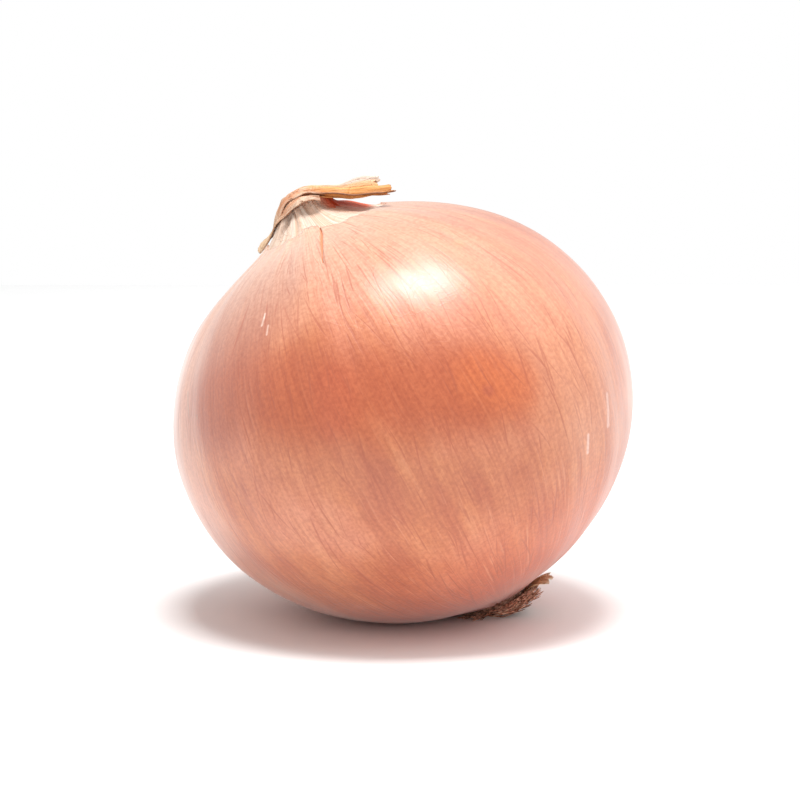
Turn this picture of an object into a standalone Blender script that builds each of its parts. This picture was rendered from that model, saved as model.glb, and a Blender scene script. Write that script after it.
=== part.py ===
"""A dry onion that lies tilted on its side: bulb, inner skin of the neck, folded neck leaf, roots and husk.

Metres, +Z up. The origin is the middle of the small flat spot that the bulb rests on. The neck leans
towards -X, and a front view looks along +Y. Every piece is laid out round the bulb's middle: a place is an
angle from the neck (tilt), an angle round the growth axis (turn, 0 to the right, -90 degrees to the
front) and a distance from the middle.
"""

import math
import random

import bmesh
import bpy
from mathutils import Vector, noise

MM = 0.001

# The bulb: a slightly flattened globe whose short axis leans less than its growth axis.
BULB_RADIUS = 42.1 * MM
BULB_HALF_HEIGHT = 37.9 * MM
GROWTH_LEAN = math.radians(26.5)
SHORT_AXIS_LEAN = math.radians(16.9)
FLAT_SPOT_DEPTH = 1.05 * MM
GAP = 0.3 * MM

# The skin's relief: dents and swellings of the outline as (angle up from +X, width, height), soft lobes,
# ribs along the meridians as (count, height), the neck's flare and the root's boss.
SWELLINGS = (
    (math.radians(143), math.radians(12), -0.75 * MM),
    (math.radians(-110), math.radians(26), -0.55 * MM),
    (math.radians(-168), math.radians(12), 0.30 * MM),
    (math.radians(70), math.radians(25), -0.20 * MM),
)
LOBE_HEIGHT = 0.35 * MM
LOBE_SCALE = 1.6
RIBS = ((7, 0.10 * MM), (11, 0.09 * MM), (17, 0.07 * MM), (23, 0.05 * MM))
FLARE_HEIGHT = 5.0 * MM
FLARE_WIDTH = math.radians(9.4)
FLARE_POWER = 2.2
BOSS_HEIGHT = 1.0 * MM
BOSS_WIDTH = math.radians(13)

# The torn edge of the outer skin round the neck. It reaches lower to the right and is notched in front,
# where a slit runs down from it.
TEAR_TILT = math.radians(17.5)
TEAR_TO_THE_RIGHT = math.radians(3.8)
TEAR_RAGGED = math.radians(2.2)
NOTCH_TURN = math.radians(-88)
NOTCH_WIDTH = math.radians(18)
NOTCH_RISE = math.radians(5)
SLIT_START = (math.radians(11), math.radians(-77))
SLIT_END = (math.radians(37), math.radians(-89.5))
SLIT_HALF_WIDTH = 0.5 * MM
SLIT_TAPER = 0.85
SLIT_STEPS = 8
# The bulb is recessed inside the torn edge, and the neck's inner skin lies a step lower than the outer one.
RECESS = 1.2 * MM
RECESS_SHARE = 0.985
SKIN_STEP = 0.3 * MM

# How finely the bulb is divided: meridians, rings, and the ring that lies on the torn edge.
BULB_MERIDIANS = 72
BULB_RINGS = 38
TEAR_RING = 5

# The neck's inner skin, which gathers in uneven pleats and has a ridge under the flap. Each ridge value is
# its middle and its width.
COLLAR_RINGS = 14
COLLAR_EDGE_RING = 9
PLEATS = 13
PLEAT_UNEVENNESS = 2.5
PLEAT_DEPTH = 0.45 * MM
RIDGE_HEIGHT = 1.1 * MM
RIDGE_TURN = (math.radians(18), math.radians(26))
RIDGE_TILT = (math.radians(12.5), math.radians(4.5))

# The folded neck leaf: its front and back edges from the tab on the left to the ragged flap on the right,
# as (x, y, z) in millimetres from the throat.
LEAF_FRONT_EDGE = (
    (-6.3, 2.0, -9.4),
    (-5.8, 1.2, -7.6),
    (-5.0, 0.2, -5.5),
    (-4.1, -1.4, -3.0),
    (-2.7, -3.0, -0.6),
    (-0.5, -4.2, 1.2),
    (1.7, -4.7, 2.2),
    (4.3, -5.0, 2.2),
    (6.8, -5.2, 2.3),
    (9.4, -5.4, 2.1),
    (11.9, -5.6, 2.3),
    (14.6, -5.8, 2.5),
    (17.2, -6.0, 2.9),
)
LEAF_BACK_EDGE = (
    (-7.9, 4.5, -8.7),
    (-7.0, 4.6, -7.0),
    (-5.8, 4.7, -5.0),
    (-4.1, 4.8, -2.6),
    (-2.3, 5.0, -0.4),
    (-0.3, 5.0, 0.8),
    (2.1, 4.6, 1.8),
    (4.8, 3.6, 2.3),
    (7.4, 2.0, 3.1),
    (9.4, 0.6, 4.2),
    (11.2, -0.6, 4.9),
    (12.8, -1.4, 5.1),
    (14.3, -2.0, 5.0),
)
THROAT_DISTANCE = 41.5 * MM
LEAF_CROWN = 0.8 * MM
LEAF_THICKNESS = 0.7 * MM
LEAF_STEPS_ALONG = 34
LEAF_STEPS_ACROSS = 12
LEAF_FOLDS = 3.2
LEAF_FOLD_SLANT = 2.0
LEAF_FOLD_DEPTH = 0.35 * MM
# The hood is the arched stretch of the leaf over the throat, as shares of its length.
HOOD = (0.3, 0.55, 0.72)
# How far each strip of the flap reaches, from its front edge to its back edge.
FLAP_REACH = (1.0, 0.99, 0.98, 0.985, 0.975, 0.93, 0.90, 0.92, 0.94, 0.95, 0.96, 0.94, 0.88)
TAB_ROUNDING = 0.05

# The root tuft: a corky basal plate with trimmed rootlets.
PLATE_TILT = math.radians(8)
PLATE_THICKNESS = 1.9 * MM
PLATE_ROOM = 1.3 * MM
PLATE_LUMP = 0.5 * MM
PLATE_LUMP_SCALE = 30
PLATE_MERIDIANS = 30
PLATE_RINGS = 12
ROOTLETS = 56
ROOTLET_SEED = 23
ROOTLET_RADIUS = 0.42 * MM
ROOTLET_TAPER = 0.3
ROOTLET_STEPS = 6
ROOTLET_REACH = (5.5, 9.5)
ROOTLET_DRIFT = 0.6
ROOTLET_RISE = (1.1 * MM, 3.0 * MM)
LONG_ROOTS_TURN = math.radians(-135)
LONG_ROOTS_REACH = 3.0

# The husk beside the roots.
HUSK_TURNS = (math.radians(-34), math.radians(10))
HUSK_TILTS = (math.radians(9.3), math.radians(15.8))
HUSK_NARROWING = 0.35
HUSK_RAGGED = 0.16
HUSK_RISE = 1.3 * MM
HUSK_WAVE = 0.25 * MM
HUSK_THICKNESS = 0.6 * MM
HUSK_STEPS = 6
HUSK_CLEARANCE = math.radians(1.3)

# Colour and roughness of each piece.
FINISHES = {
    "bulb": ((0.62, 0.26, 0.14), 0.38),
    "neck_collar": ((0.83, 0.62, 0.49), 0.6),
    "neck_leaf": ((0.66, 0.36, 0.16), 0.55),
    "root_tuft": ((0.16, 0.08, 0.05), 0.9),
    "root_husk": ((0.46, 0.24, 0.12), 0.7),
}

# Axes of the growth frame, in world directions.
GROWTH = Vector((-math.sin(GROWTH_LEAN), 0, math.cos(GROWTH_LEAN)))
SIDE = Vector((math.cos(GROWTH_LEAN), 0, math.sin(GROWTH_LEAN)))
BACK = Vector((0, 1, 0))
SHORT_AXIS = Vector((-math.sin(SHORT_AXIS_LEAN), 0, math.cos(SHORT_AXIS_LEAN)))


def clear_scene():
    for obj in list(bpy.data.objects):
        bpy.data.objects.remove(obj)


def bulb_middle():
    """The bulb's middle, placed so that its lowest point lies a flat spot's depth below the origin."""
    spread, height = BULB_RADIUS**2, BULB_HALF_HEIGHT**2
    down = Vector((0, 0, -1))
    along = SHORT_AXIS * down.dot(SHORT_AXIS)
    lowest = (down - along) * spread + along * height
    lowest /= math.sqrt(lowest.dot(down))
    return Vector((-lowest.x, 0, -lowest.z - FLAT_SPOT_DEPTH))


MIDDLE = bulb_middle()
THROAT = MIDDLE + GROWTH * THROAT_DISTANCE


def direction_at(tilt, turn):
    outward = SIDE * math.cos(turn) + BACK * math.sin(turn)
    return GROWTH * math.cos(tilt) + outward * math.sin(tilt)


def angles_of(direction):
    tilt = GROWTH.angle(direction)
    return tilt, math.atan2(direction.dot(BACK), direction.dot(SIDE))


def body_radius(direction):
    """Distance from the middle to the flattened globe with its swellings and lobes."""
    along = direction.dot(SHORT_AXIS)
    radius = 1 / math.sqrt((1 - along**2) / BULB_RADIUS**2 + along**2 / BULB_HALF_HEIGHT**2)
    for angle, width, height in SWELLINGS:
        away = direction.angle(Vector((math.cos(angle), 0, math.sin(angle))))
        radius += height * math.exp(-((away / width) ** 2))
    return radius + LOBE_HEIGHT * noise.noise(direction * LOBE_SCALE)


def skin_radius(tilt, turn):
    """Distance from the middle to the outer skin, with its ribs, neck flare and root boss."""
    flare = FLARE_HEIGHT * math.exp(-((tilt / FLARE_WIDTH) ** FLARE_POWER))
    boss = BOSS_HEIGHT * math.exp(-(((math.pi - tilt) / BOSS_WIDTH) ** 4))
    ribs = sum(height * math.cos(count * (turn + 1.7)) for count, height in RIBS)
    return body_radius(direction_at(tilt, turn)) + flare + boss + ribs * math.sin(tilt)


def tear_tilt(turn):
    """Where the outer skin ends round the neck."""
    ragged = TEAR_RAGGED * noise.noise(Vector((math.cos(turn), math.sin(turn), 0)) * 4.0)
    notch = NOTCH_RISE * math.exp(-(((turn - NOTCH_TURN) / NOTCH_WIDTH) ** 2))
    return TEAR_TILT + TEAR_TO_THE_RIGHT * math.cos(turn) + ragged - notch


def sphere_rings(name, meridians, rings, place):
    """A sphere primitive whose every vertex is moved to place(ring, turn)."""
    shape = bmesh.new()
    bmesh.ops.create_uvsphere(shape, u_segments=meridians, v_segments=rings, radius=1.0)
    for vertex in shape.verts:
        ring = round(math.acos(max(-1.0, min(1.0, vertex.co.z))) / math.pi * rings)
        vertex.co = place(ring, math.atan2(vertex.co.y, vertex.co.x))
    return finish_mesh(name, shape)


def finish_mesh(name, shape):
    mesh = bpy.data.meshes.new(name)
    shape.to_mesh(mesh)
    shape.free()
    mesh.shade_smooth()
    return bpy.data.objects.new(name, mesh)


def bulb_place(ring, turn):
    """The bulb's vertex on a ring: the recess under the neck, the torn edge, then the open skin."""
    edge = tear_tilt(turn)
    if ring < TEAR_RING:
        direction = direction_at(edge * min(RECESS_SHARE, ring / (TEAR_RING - 1)), turn)
        return MIDDLE + direction * (body_radius(direction) - RECESS)
    share = (ring - TEAR_RING) / (BULB_RINGS - TEAR_RING)
    tilt = edge + (math.pi - edge) * share
    place = MIDDLE + direction_at(tilt, turn) * skin_radius(tilt, turn)
    place.z = max(place.z, 0.0)
    return place


def tube(name, places, radii):
    """A thin tube with closed ends through the given places, as a mesh object."""
    curve = bpy.data.curves.new(name, "CURVE")
    curve.dimensions = "3D"
    curve.bevel_depth = 1.0
    curve.bevel_resolution = 0
    curve.use_fill_caps = True
    line = curve.splines.new("POLY")
    line.points.add(len(places) - 1)
    for point, place, radius in zip(line.points, places, radii):
        point.co = (*place, 1)
        point.radius = radius
    guide = bpy.data.objects.new(name, curve)
    bpy.context.scene.collection.objects.link(guide)
    graph = bpy.context.evaluated_depsgraph_get()
    mesh = bpy.data.meshes.new_from_object(guide.evaluated_get(graph))
    bpy.data.objects.remove(guide)
    shape = bmesh.new()
    shape.from_mesh(mesh)
    bmesh.ops.remove_doubles(shape, verts=shape.verts, dist=0.01 * MM)
    shape.to_mesh(mesh)
    shape.free()
    return bpy.data.objects.new(name, mesh)


def slit_cutter():
    """The slit's cutter: a tube that follows the skin down from the torn edge and tapers to its end."""
    places, radii = [], []
    for step in range(SLIT_STEPS + 1):
        share = step / SLIT_STEPS
        tilt = SLIT_START[0] + (SLIT_END[0] - SLIT_START[0]) * share
        turn = SLIT_START[1] + (SLIT_END[1] - SLIT_START[1]) * share
        places.append(MIDDLE + direction_at(tilt, turn) * skin_radius(tilt, turn))
        radii.append(SLIT_HALF_WIDTH * (1 - SLIT_TAPER * share))
    return tube("slit_cutter", places, radii)


def bulb():
    obj = sphere_rings("bulb", BULB_MERIDIANS, BULB_RINGS, bulb_place)
    cutters = bpy.data.collections.new("cutters")
    bpy.context.scene.collection.children.link(cutters)
    cutter = slit_cutter()
    cutter.hide_render = True
    cutter.display_type = "WIRE"
    cutters.objects.link(cutter)
    slit = obj.modifiers.new("Slit", "BOOLEAN")
    slit.operation = "DIFFERENCE"
    slit.object = cutter
    return obj


def collar_radius(tilt, turn):
    """Distance from the middle to the top of the neck's inner skin, without its pleats."""
    across = (turn - RIDGE_TURN[0]) / RIDGE_TURN[1]
    along = (tilt - RIDGE_TILT[0]) / RIDGE_TILT[1]
    ridge = RIDGE_HEIGHT * math.exp(-across * across - along * along)
    return skin_radius(tilt, turn) - SKIN_STEP + ridge


def collar_place(ring, turn):
    """The inner skin: pleated top from the throat to its edge, then a plain underside above the bulb."""
    edge = tear_tilt(turn) * RECESS_SHARE - 1.4 * GAP / BULB_HALF_HEIGHT
    if ring <= COLLAR_EDGE_RING:
        share = ring / COLLAR_EDGE_RING
        tilt = edge * share
        gather = math.sin(math.pi * share) ** 2
        pleat = PLEAT_DEPTH * gather * math.cos(PLEATS * turn + PLEAT_UNEVENNESS * math.sin(turn))
        outward = SIDE * math.cos(turn) + BACK * math.sin(turn)
        return MIDDLE + direction_at(tilt, turn) * collar_radius(tilt, turn) + outward * pleat
    share = (COLLAR_RINGS - ring) / (COLLAR_RINGS - COLLAR_EDGE_RING - 1)
    direction = direction_at(edge * share, turn)
    return MIDDLE + direction * (body_radius(direction) - RECESS + GAP)


def curve_point(points, share):
    """A point on the smooth curve through the given points, for a share from 0 to 1."""
    place = min(max(share, 0.0), 1.0) * (len(points) - 1)
    first = min(int(place), len(points) - 2)
    part = place - first
    before, start, end, after = (
        Vector(points[min(max(first + step, 0), len(points) - 1)]) for step in (-1, 0, 1, 2)
    )
    bend = 2 * start + (end - before) * part
    bend += (2 * before - 5 * start + 4 * end - after) * part**2
    bend += (3 * start - before - 3 * end + after) * part**3
    return bend / 2


def keep_outside(place, margin):
    """Moves a point away from the middle until it clears the skin and the neck by the margin."""
    offset = place - MIDDLE
    tilt, turn = angles_of(offset)
    floor = max(skin_radius(tilt, turn), collar_radius(tilt, turn)) + margin
    return MIDDLE + offset.normalized() * max(offset.length, floor)


def smooth_step(low, high, value):
    share = min(1.0, max(0.0, (value - low) / (high - low)))
    return share * share * (3 - 2 * share)


def leaf_place(along, across):
    """The folded leaf's inner face: along runs 0 to 1 from tab to flap, across 0 to 1 from front to back."""
    strip = round(across * LEAF_STEPS_ACROSS)
    reach = along * (1 - smooth_step(0.5, 1.0, along) * (1 - FLAP_REACH[strip]))
    reach += TAB_ROUNDING * (1 - smooth_step(0.0, HOOD[0], along)) * (2 * across - 1) ** 2
    front = curve_point(LEAF_FRONT_EDGE, reach)
    back = curve_point(LEAF_BACK_EDGE, reach)
    place = THROAT + front.lerp(back, across) * MM
    outward = (place - MIDDLE).normalized()
    arch = 1 - (2 * across - 1) ** 2
    hood = smooth_step(0.0, HOOD[0], along) * (1 - smooth_step(HOOD[1], HOOD[2], along))
    wave = math.cos(2 * math.pi * LEAF_FOLDS * across + LEAF_FOLD_SLANT * along)
    folds = LEAF_FOLD_DEPTH * wave * smooth_step(0.1, 0.6, along)
    place += outward * (LEAF_CROWN * arch * (0.25 + 0.75 * hood) + folds)
    return keep_outside(place, GAP * 1.4 + PLEAT_DEPTH * 0.5 * hood)


def sheet(name, steps_along, steps_across, place, thickness):
    """A grid primitive laid over a surface and given its thickness on the outer side."""
    shape = bmesh.new()
    bmesh.ops.create_grid(shape, x_segments=steps_along, y_segments=steps_across, size=0.5)
    for vertex in shape.verts:
        vertex.co = place(vertex.co.x + 0.5, vertex.co.y + 0.5)
    bmesh.ops.triangulate(shape, faces=shape.faces)
    bmesh.ops.recalc_face_normals(shape, faces=shape.faces)
    middle_face = min(shape.faces, key=lambda face: (face.calc_center_median() - MIDDLE).length)
    if middle_face.normal.dot(middle_face.calc_center_median() - MIDDLE) < 0:
        bmesh.ops.reverse_faces(shape, faces=shape.faces)
    obj = finish_mesh(name, shape)
    wall = obj.modifiers.new("Wall", "SOLIDIFY")
    wall.thickness = thickness
    wall.offset = 1.0
    return obj


def room_below(tilt, turn):
    """How far the table lies beyond a point on the skin, measured away from the bulb's middle."""
    direction = direction_at(tilt, turn)
    if direction.z >= 0:
        return 1.0
    return MIDDLE.z / -direction.z - skin_radius(tilt, turn)


def plate_edge(turn):
    """The plate's rim as an angle from the root's middle: it ends early where the table leaves no room."""
    edge = PLATE_TILT
    while room_below(math.pi - edge, turn) < PLATE_ROOM:
        edge -= math.radians(0.25)
    return edge


def plate_place(ring, turn):
    """The basal plate: a lens that follows the root end, thicker and lumpy towards its middle."""
    half = PLATE_RINGS // 2
    share = (PLATE_RINGS - ring) / half if ring >= half else ring / half
    tilt = math.pi - plate_edge(turn) * share
    height = GAP
    if ring >= half:
        lump = PLATE_LUMP * noise.noise(direction_at(tilt, turn) * PLATE_LUMP_SCALE)
        height = GAP * 2 + (PLATE_THICKNESS + lump) * (1 - share**3)
        height = min(height, room_below(tilt, turn) - GAP)
    return MIDDLE + direction_at(tilt, turn) * (skin_radius(tilt, turn) + height)


def rootlet_route(draw):
    """A rootlet's route: out of the plate, over its rim and along the skin, pressed flat by the ground."""
    turn = draw.uniform(-math.pi, math.pi)
    start = plate_edge(turn) * math.sqrt(draw.uniform(0.02, 0.85))
    drift = draw.uniform(-ROOTLET_DRIFT, ROOTLET_DRIFT)
    longer = LONG_ROOTS_REACH * max(0.0, math.cos(turn - LONG_ROOTS_TURN))
    length = math.radians(draw.uniform(*ROOTLET_REACH) + longer)
    if HUSK_TURNS[0] - 0.2 < turn + drift < HUSK_TURNS[1] + 0.2:
        length = min(length, HUSK_TILTS[0] - HUSK_CLEARANCE - start)
    rise = draw.uniform(*ROOTLET_RISE)
    lowest = GAP * 1.5 + ROOTLET_RADIUS
    tilt = math.pi - start
    route = [MIDDLE + direction_at(tilt, turn) * (skin_radius(tilt, turn) + GAP * 3)]
    for step in range(ROOTLET_STEPS + 1):
        share = step / ROOTLET_STEPS
        here = turn + drift * share
        from_root = start + length * share
        tilt = math.pi - from_root
        radius = skin_radius(tilt, here)
        over_plate = 0.5 * MM * (1 - smooth_step(PLATE_TILT * 0.7, PLATE_TILT * 1.3, from_root))
        height = lowest + over_plate + rise * math.sin(math.pi * (0.15 + 0.8 * share))
        room = room_below(tilt, here) - ROOTLET_RADIUS * 1.2 - GAP
        if room < lowest:
            break
        route.append(MIDDLE + direction_at(tilt, here) * (radius + min(height, room)))
    return route


def root_tuft():
    """The plate with its rootlets, joined by one Boolean union and applied."""
    plate = sphere_rings("root_tuft", PLATE_MERIDIANS, PLATE_RINGS, plate_place)
    bpy.context.scene.collection.objects.link(plate)
    tufts = bpy.data.collections.new("rootlets")
    bpy.context.scene.collection.children.link(tufts)
    draw = random.Random(ROOTLET_SEED)
    for index in range(ROOTLETS):
        route = rootlet_route(draw)
        thick = ROOTLET_RADIUS * draw.uniform(0.85, 1.15)
        if len(route) > 3:
            radii = [thick * (1 - ROOTLET_TAPER * step / len(route)) for step in range(len(route))]
            tufts.objects.link(tube(f"rootlet_{index}", route, radii))
    join = plate.modifiers.new("Join", "BOOLEAN")
    join.operation = "UNION"
    join.operand_type = "COLLECTION"
    join.collection = tufts
    join.solver = "MANIFOLD"
    graph = bpy.context.evaluated_depsgraph_get()
    joined = bpy.data.meshes.new_from_object(plate.evaluated_get(graph))
    plate.modifiers.clear()
    plate.data = joined
    bpy.context.scene.collection.objects.unlink(plate)
    for obj in list(tufts.objects):
        bpy.data.objects.remove(obj)
    bpy.data.collections.remove(tufts)
    return plate


def husk_place(along, across):
    """The husk: rooted beside the plate, cupped, and lifting off the skin towards its torn tip."""
    middle_turn = (HUSK_TURNS[0] + HUSK_TURNS[1]) / 2
    spread = (HUSK_TURNS[1] - HUSK_TURNS[0]) * (1 - HUSK_NARROWING * along)
    turn = middle_turn + spread * (across - 0.5)
    ragged = 1 - HUSK_RAGGED * along * math.sin(across * 9) ** 2
    tilt = math.pi - HUSK_TILTS[0] - (HUSK_TILTS[1] - HUSK_TILTS[0]) * along * ragged
    height = GAP * 1.6 + HUSK_RISE * along**2 + HUSK_WAVE * math.sin(across * 12) * along
    return MIDDLE + direction_at(tilt, turn) * (skin_radius(tilt, turn) + height)


def material(name):
    colour, roughness = FINISHES[name]
    made = bpy.data.materials.new(name + "_finish")
    made.use_nodes = True
    shader = made.node_tree.nodes["Principled BSDF"]
    shader.inputs["Base Color"].default_value = (*colour, 1)
    shader.inputs["Roughness"].default_value = roughness
    shader.inputs["Metallic"].default_value = 0
    return made


def main():
    clear_scene()
    onion = bpy.data.collections.new("onion")
    bpy.context.scene.collection.children.link(onion)
    pieces = (
        bulb(),
        sphere_rings("neck_collar", BULB_MERIDIANS, COLLAR_RINGS, collar_place),
        sheet("neck_leaf", LEAF_STEPS_ALONG, LEAF_STEPS_ACROSS, leaf_place, LEAF_THICKNESS),
        root_tuft(),
        sheet("root_husk", HUSK_STEPS, HUSK_STEPS, husk_place, HUSK_THICKNESS),
    )
    for obj in pieces:
        obj.data.materials.append(material(obj.name))
        onion.objects.link(obj)


main()
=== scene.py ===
# %% [markdown]
# An onion that lies tilted on a table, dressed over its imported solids. The dry outer skin, the cream
# inner skin of the neck, the folded neck leaf, the roots and the husk are all finer meshes than the
# solids that they stand for, and they keep the same forms and places.

import math

import bmesh
import bpy
import numpy as np
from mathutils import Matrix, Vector, noise


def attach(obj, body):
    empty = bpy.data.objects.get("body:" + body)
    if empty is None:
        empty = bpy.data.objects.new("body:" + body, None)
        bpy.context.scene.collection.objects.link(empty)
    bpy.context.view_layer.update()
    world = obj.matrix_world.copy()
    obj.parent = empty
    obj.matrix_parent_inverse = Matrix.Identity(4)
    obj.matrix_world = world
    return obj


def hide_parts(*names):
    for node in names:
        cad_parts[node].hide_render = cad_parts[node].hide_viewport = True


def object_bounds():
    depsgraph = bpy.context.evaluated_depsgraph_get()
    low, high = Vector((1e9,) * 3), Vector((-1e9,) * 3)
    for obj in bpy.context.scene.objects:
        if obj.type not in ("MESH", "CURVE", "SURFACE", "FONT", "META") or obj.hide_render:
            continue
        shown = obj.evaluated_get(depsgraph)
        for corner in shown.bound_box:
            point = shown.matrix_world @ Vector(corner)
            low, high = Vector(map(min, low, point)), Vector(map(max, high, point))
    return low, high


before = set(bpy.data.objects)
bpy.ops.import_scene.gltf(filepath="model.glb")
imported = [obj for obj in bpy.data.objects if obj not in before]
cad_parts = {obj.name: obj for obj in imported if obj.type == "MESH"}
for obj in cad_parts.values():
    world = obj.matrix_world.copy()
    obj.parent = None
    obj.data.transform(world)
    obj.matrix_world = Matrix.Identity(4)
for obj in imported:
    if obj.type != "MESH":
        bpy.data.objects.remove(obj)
solid_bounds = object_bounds()
print("solids' box in metres:", solid_bounds)

# %% [markdown]
# The whole onion grew round one axis, from the root tuft to the neck. That axis leans to the left,
# and the globe's short axis leans a little less. Every skin is laid out in this growth frame, by an
# angle from the neck (tilt), an angle round the axis (turn) and a distance from the bulb's middle.

# %% The growth frame
MM = 0.001
BULB_RADIUS = 42.1 * MM
BULB_HALF_HEIGHT = 37.9 * MM
GROWTH_LEAN = math.radians(26.5)
SHORT_AXIS_LEAN = math.radians(16.9)
FLAT_SPOT_DEPTH = 1.05 * MM

GROWTH = Vector((-math.sin(GROWTH_LEAN), 0, math.cos(GROWTH_LEAN)))
SIDE = Vector((math.cos(GROWTH_LEAN), 0, math.sin(GROWTH_LEAN)))
BACK = Vector((0, 1, 0))
SHORT_AXIS = Vector((-math.sin(SHORT_AXIS_LEAN), 0, math.cos(SHORT_AXIS_LEAN)))


def bulb_middle():
    """The middle of the globe whose lowest point lies a flat spot's depth under the table's surface."""
    spread, height = BULB_RADIUS**2, BULB_HALF_HEIGHT**2
    down = Vector((0, 0, -1))
    along = SHORT_AXIS * down.dot(SHORT_AXIS)
    lowest = (down - along) * spread + along * height
    lowest /= math.sqrt(lowest.dot(down))
    return Vector((-lowest.x, 0, -lowest.z - FLAT_SPOT_DEPTH))


MIDDLE = bulb_middle()
CENTRE = np.array(MIDDLE)
THROAT = MIDDLE + GROWTH * 41.5 * MM
print("middle", tuple(round(value, 5) for value in MIDDLE))

# %% [markdown]
# The camera comes first, because every other choice is judged through it. It looks a little down,
# from the front, with a long lens as a product photographer would use, so the globe isn't swollen
# by perspective.

# %% Camera
LENS, SENSOR = 110.0, 36.0
CAMERA_DROP = math.radians(8)
FRAME_WIDTH = 145.8 * MM
AIM_LEFT, AIM_UP = 0.62 * MM, 2.1 * MM

view_direction = Vector((0, math.cos(CAMERA_DROP), -math.sin(CAMERA_DROP)))
view_up = Vector((0, math.sin(CAMERA_DROP), math.cos(CAMERA_DROP)))
aim = MIDDLE + Vector((-AIM_LEFT, 0, 0)) + view_up * AIM_UP
distance = FRAME_WIDTH * LENS / SENSOR
bpy.ops.object.camera_add(
    location=aim - view_direction * distance, rotation=(math.pi / 2 - CAMERA_DROP, 0, 0)
)
camera = bpy.context.active_object
camera.name = "camera"
camera.data.lens = LENS
camera.data.sensor_width = SENSOR
camera.data.clip_start = 0.01
bpy.context.scene.camera = camera
bpy.context.scene.view_settings.view_transform = "Standard"
print("camera distance", round(distance, 3))

# %% [markdown]
# Vertex places are worked out for a whole mesh at once, with number arrays. The helpers turn tilt
# and turn into directions, read smooth noise, and blend from 0 to 1.

# %% Array helpers


def directions(tilt, turn):
    outward = np.outer(np.cos(turn), SIDE) + np.outer(np.sin(turn), BACK)
    return np.cos(tilt)[:, None] * np.array(GROWTH) + np.sin(tilt)[:, None] * outward


def place_at(tilt, turn, radius):
    """Places at these angles and these distances from the bulb's middle."""
    return CENTRE + directions(tilt, turn) * radius[:, None]


def angles_of(places):
    """The tilt, turn and distance from the bulb's middle of each place."""
    offset = np.asarray(places) - CENTRE
    far = np.linalg.norm(offset, axis=1)
    way = offset / far[:, None]
    tilt = np.arccos(np.clip(way @ np.array(GROWTH), -1, 1))
    return tilt, np.arctan2(way @ np.array(BACK), way @ np.array(SIDE)), far


def noise_at(points, scale, shift=0.0):
    """Smooth noise from -1 to 1 at each point."""
    move = Vector((shift, shift * 0.7, shift * 1.3))
    return np.array([noise.noise(Vector(point) * scale + move) for point in points])


def streak_noise(tilt, turn, round_scale, along_scale, shift=0.0):
    """Noise drawn out along the meridians, with no seam where the turn comes full circle."""
    points = np.stack([np.cos(turn) * round_scale, np.sin(turn) * round_scale, tilt * along_scale], 1)
    return noise_at(points, 1.0, shift)


def smooth_step(low, high, value):
    share = np.clip((value - low) / (high - low), 0.0, 1.0)
    return share * share * (3 - 2 * share)


def bump_at(value, middle, width):
    return np.exp(-(((value - middle) / width) ** 2))


def wrapped(angle):
    """The same angle between -180 and 180 degrees."""
    return (angle + math.pi) % (2 * math.pi) - math.pi


print("helpers ready")

# %% [markdown]
# The outer skin follows the solid's form: a flattened globe with a few dents, soft lobes, ribs
# along the meridians, a flare at the neck and a boss at the root. It ends in a torn edge round the
# neck, notched in front.

# %% The skin's form
SWELLINGS = (
    # Angle in the upright plane that faces the camera, width and height. Below 0 is a dent.
    (math.radians(143), math.radians(12), -0.75 * MM),
    (math.radians(-110), math.radians(26), -0.55 * MM),
    (math.radians(-168), math.radians(12), 0.30 * MM),
    (math.radians(70), math.radians(25), -0.20 * MM),
)
LOBE_HEIGHT, LOBE_SCALE = 0.35 * MM, 1.6
# Each set of ribs by its number round the bulb and its height.
RIBS = ((7, 0.10 * MM), (11, 0.09 * MM), (17, 0.07 * MM), (23, 0.05 * MM))
FLARE_HEIGHT, FLARE_WIDTH, FLARE_POWER = 5.0 * MM, math.radians(9.4), 2.2
BOSS_HEIGHT, BOSS_WIDTH = 1.0 * MM, math.radians(13)
TEAR_TILT, TEAR_TO_THE_RIGHT = math.radians(17.5), math.radians(3.8)
TEAR_RAGGED, TEAR_TEETH = math.radians(2.2), math.radians(0.5)
NOTCH_TURN, NOTCH_WIDTH, NOTCH_RISE = math.radians(-88), math.radians(18), math.radians(5)


def body_radius(way):
    along = way @ np.array(SHORT_AXIS)
    radius = 1 / np.sqrt((1 - along**2) / BULB_RADIUS**2 + along**2 / BULB_HALF_HEIGHT**2)
    for angle, width, height in SWELLINGS:
        toward = np.array((math.cos(angle), 0, math.sin(angle)))
        radius += height * bump_at(np.arccos(np.clip(way @ toward, -1, 1)), 0, width)
    return radius + LOBE_HEIGHT * noise_at(way, LOBE_SCALE)


def skin_radius(tilt, turn):
    flare = FLARE_HEIGHT * np.exp(-((tilt / FLARE_WIDTH) ** FLARE_POWER))
    boss = BOSS_HEIGHT * np.exp(-(((math.pi - tilt) / BOSS_WIDTH) ** 4))
    ribs = sum(height * np.cos(count * (turn + 1.7)) for count, height in RIBS)
    return body_radius(directions(tilt, turn)) + flare + boss + ribs * np.sin(tilt)


def tear_tilt(turn):
    rim = np.stack([np.cos(turn), np.sin(turn), np.zeros_like(turn)], 1)
    ragged = TEAR_RAGGED * noise_at(rim, 4.0) + TEAR_TEETH * noise_at(rim, 17.0)
    notch = NOTCH_RISE * bump_at(turn, NOTCH_TURN, NOTCH_WIDTH)
    return TEAR_TILT + TEAR_TO_THE_RIGHT * np.cos(turn) + ragged - notch


print("torn edge in front, degrees:", round(math.degrees(tear_tilt(np.array([NOTCH_TURN]))[0]), 1))

# %% [markdown]
# A piece starts as a primitive. Its vertices are then laid in place by a formula, the way a
# sculptor would push them, since no single operator makes a grown form like this.

# %% Start a piece


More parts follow.
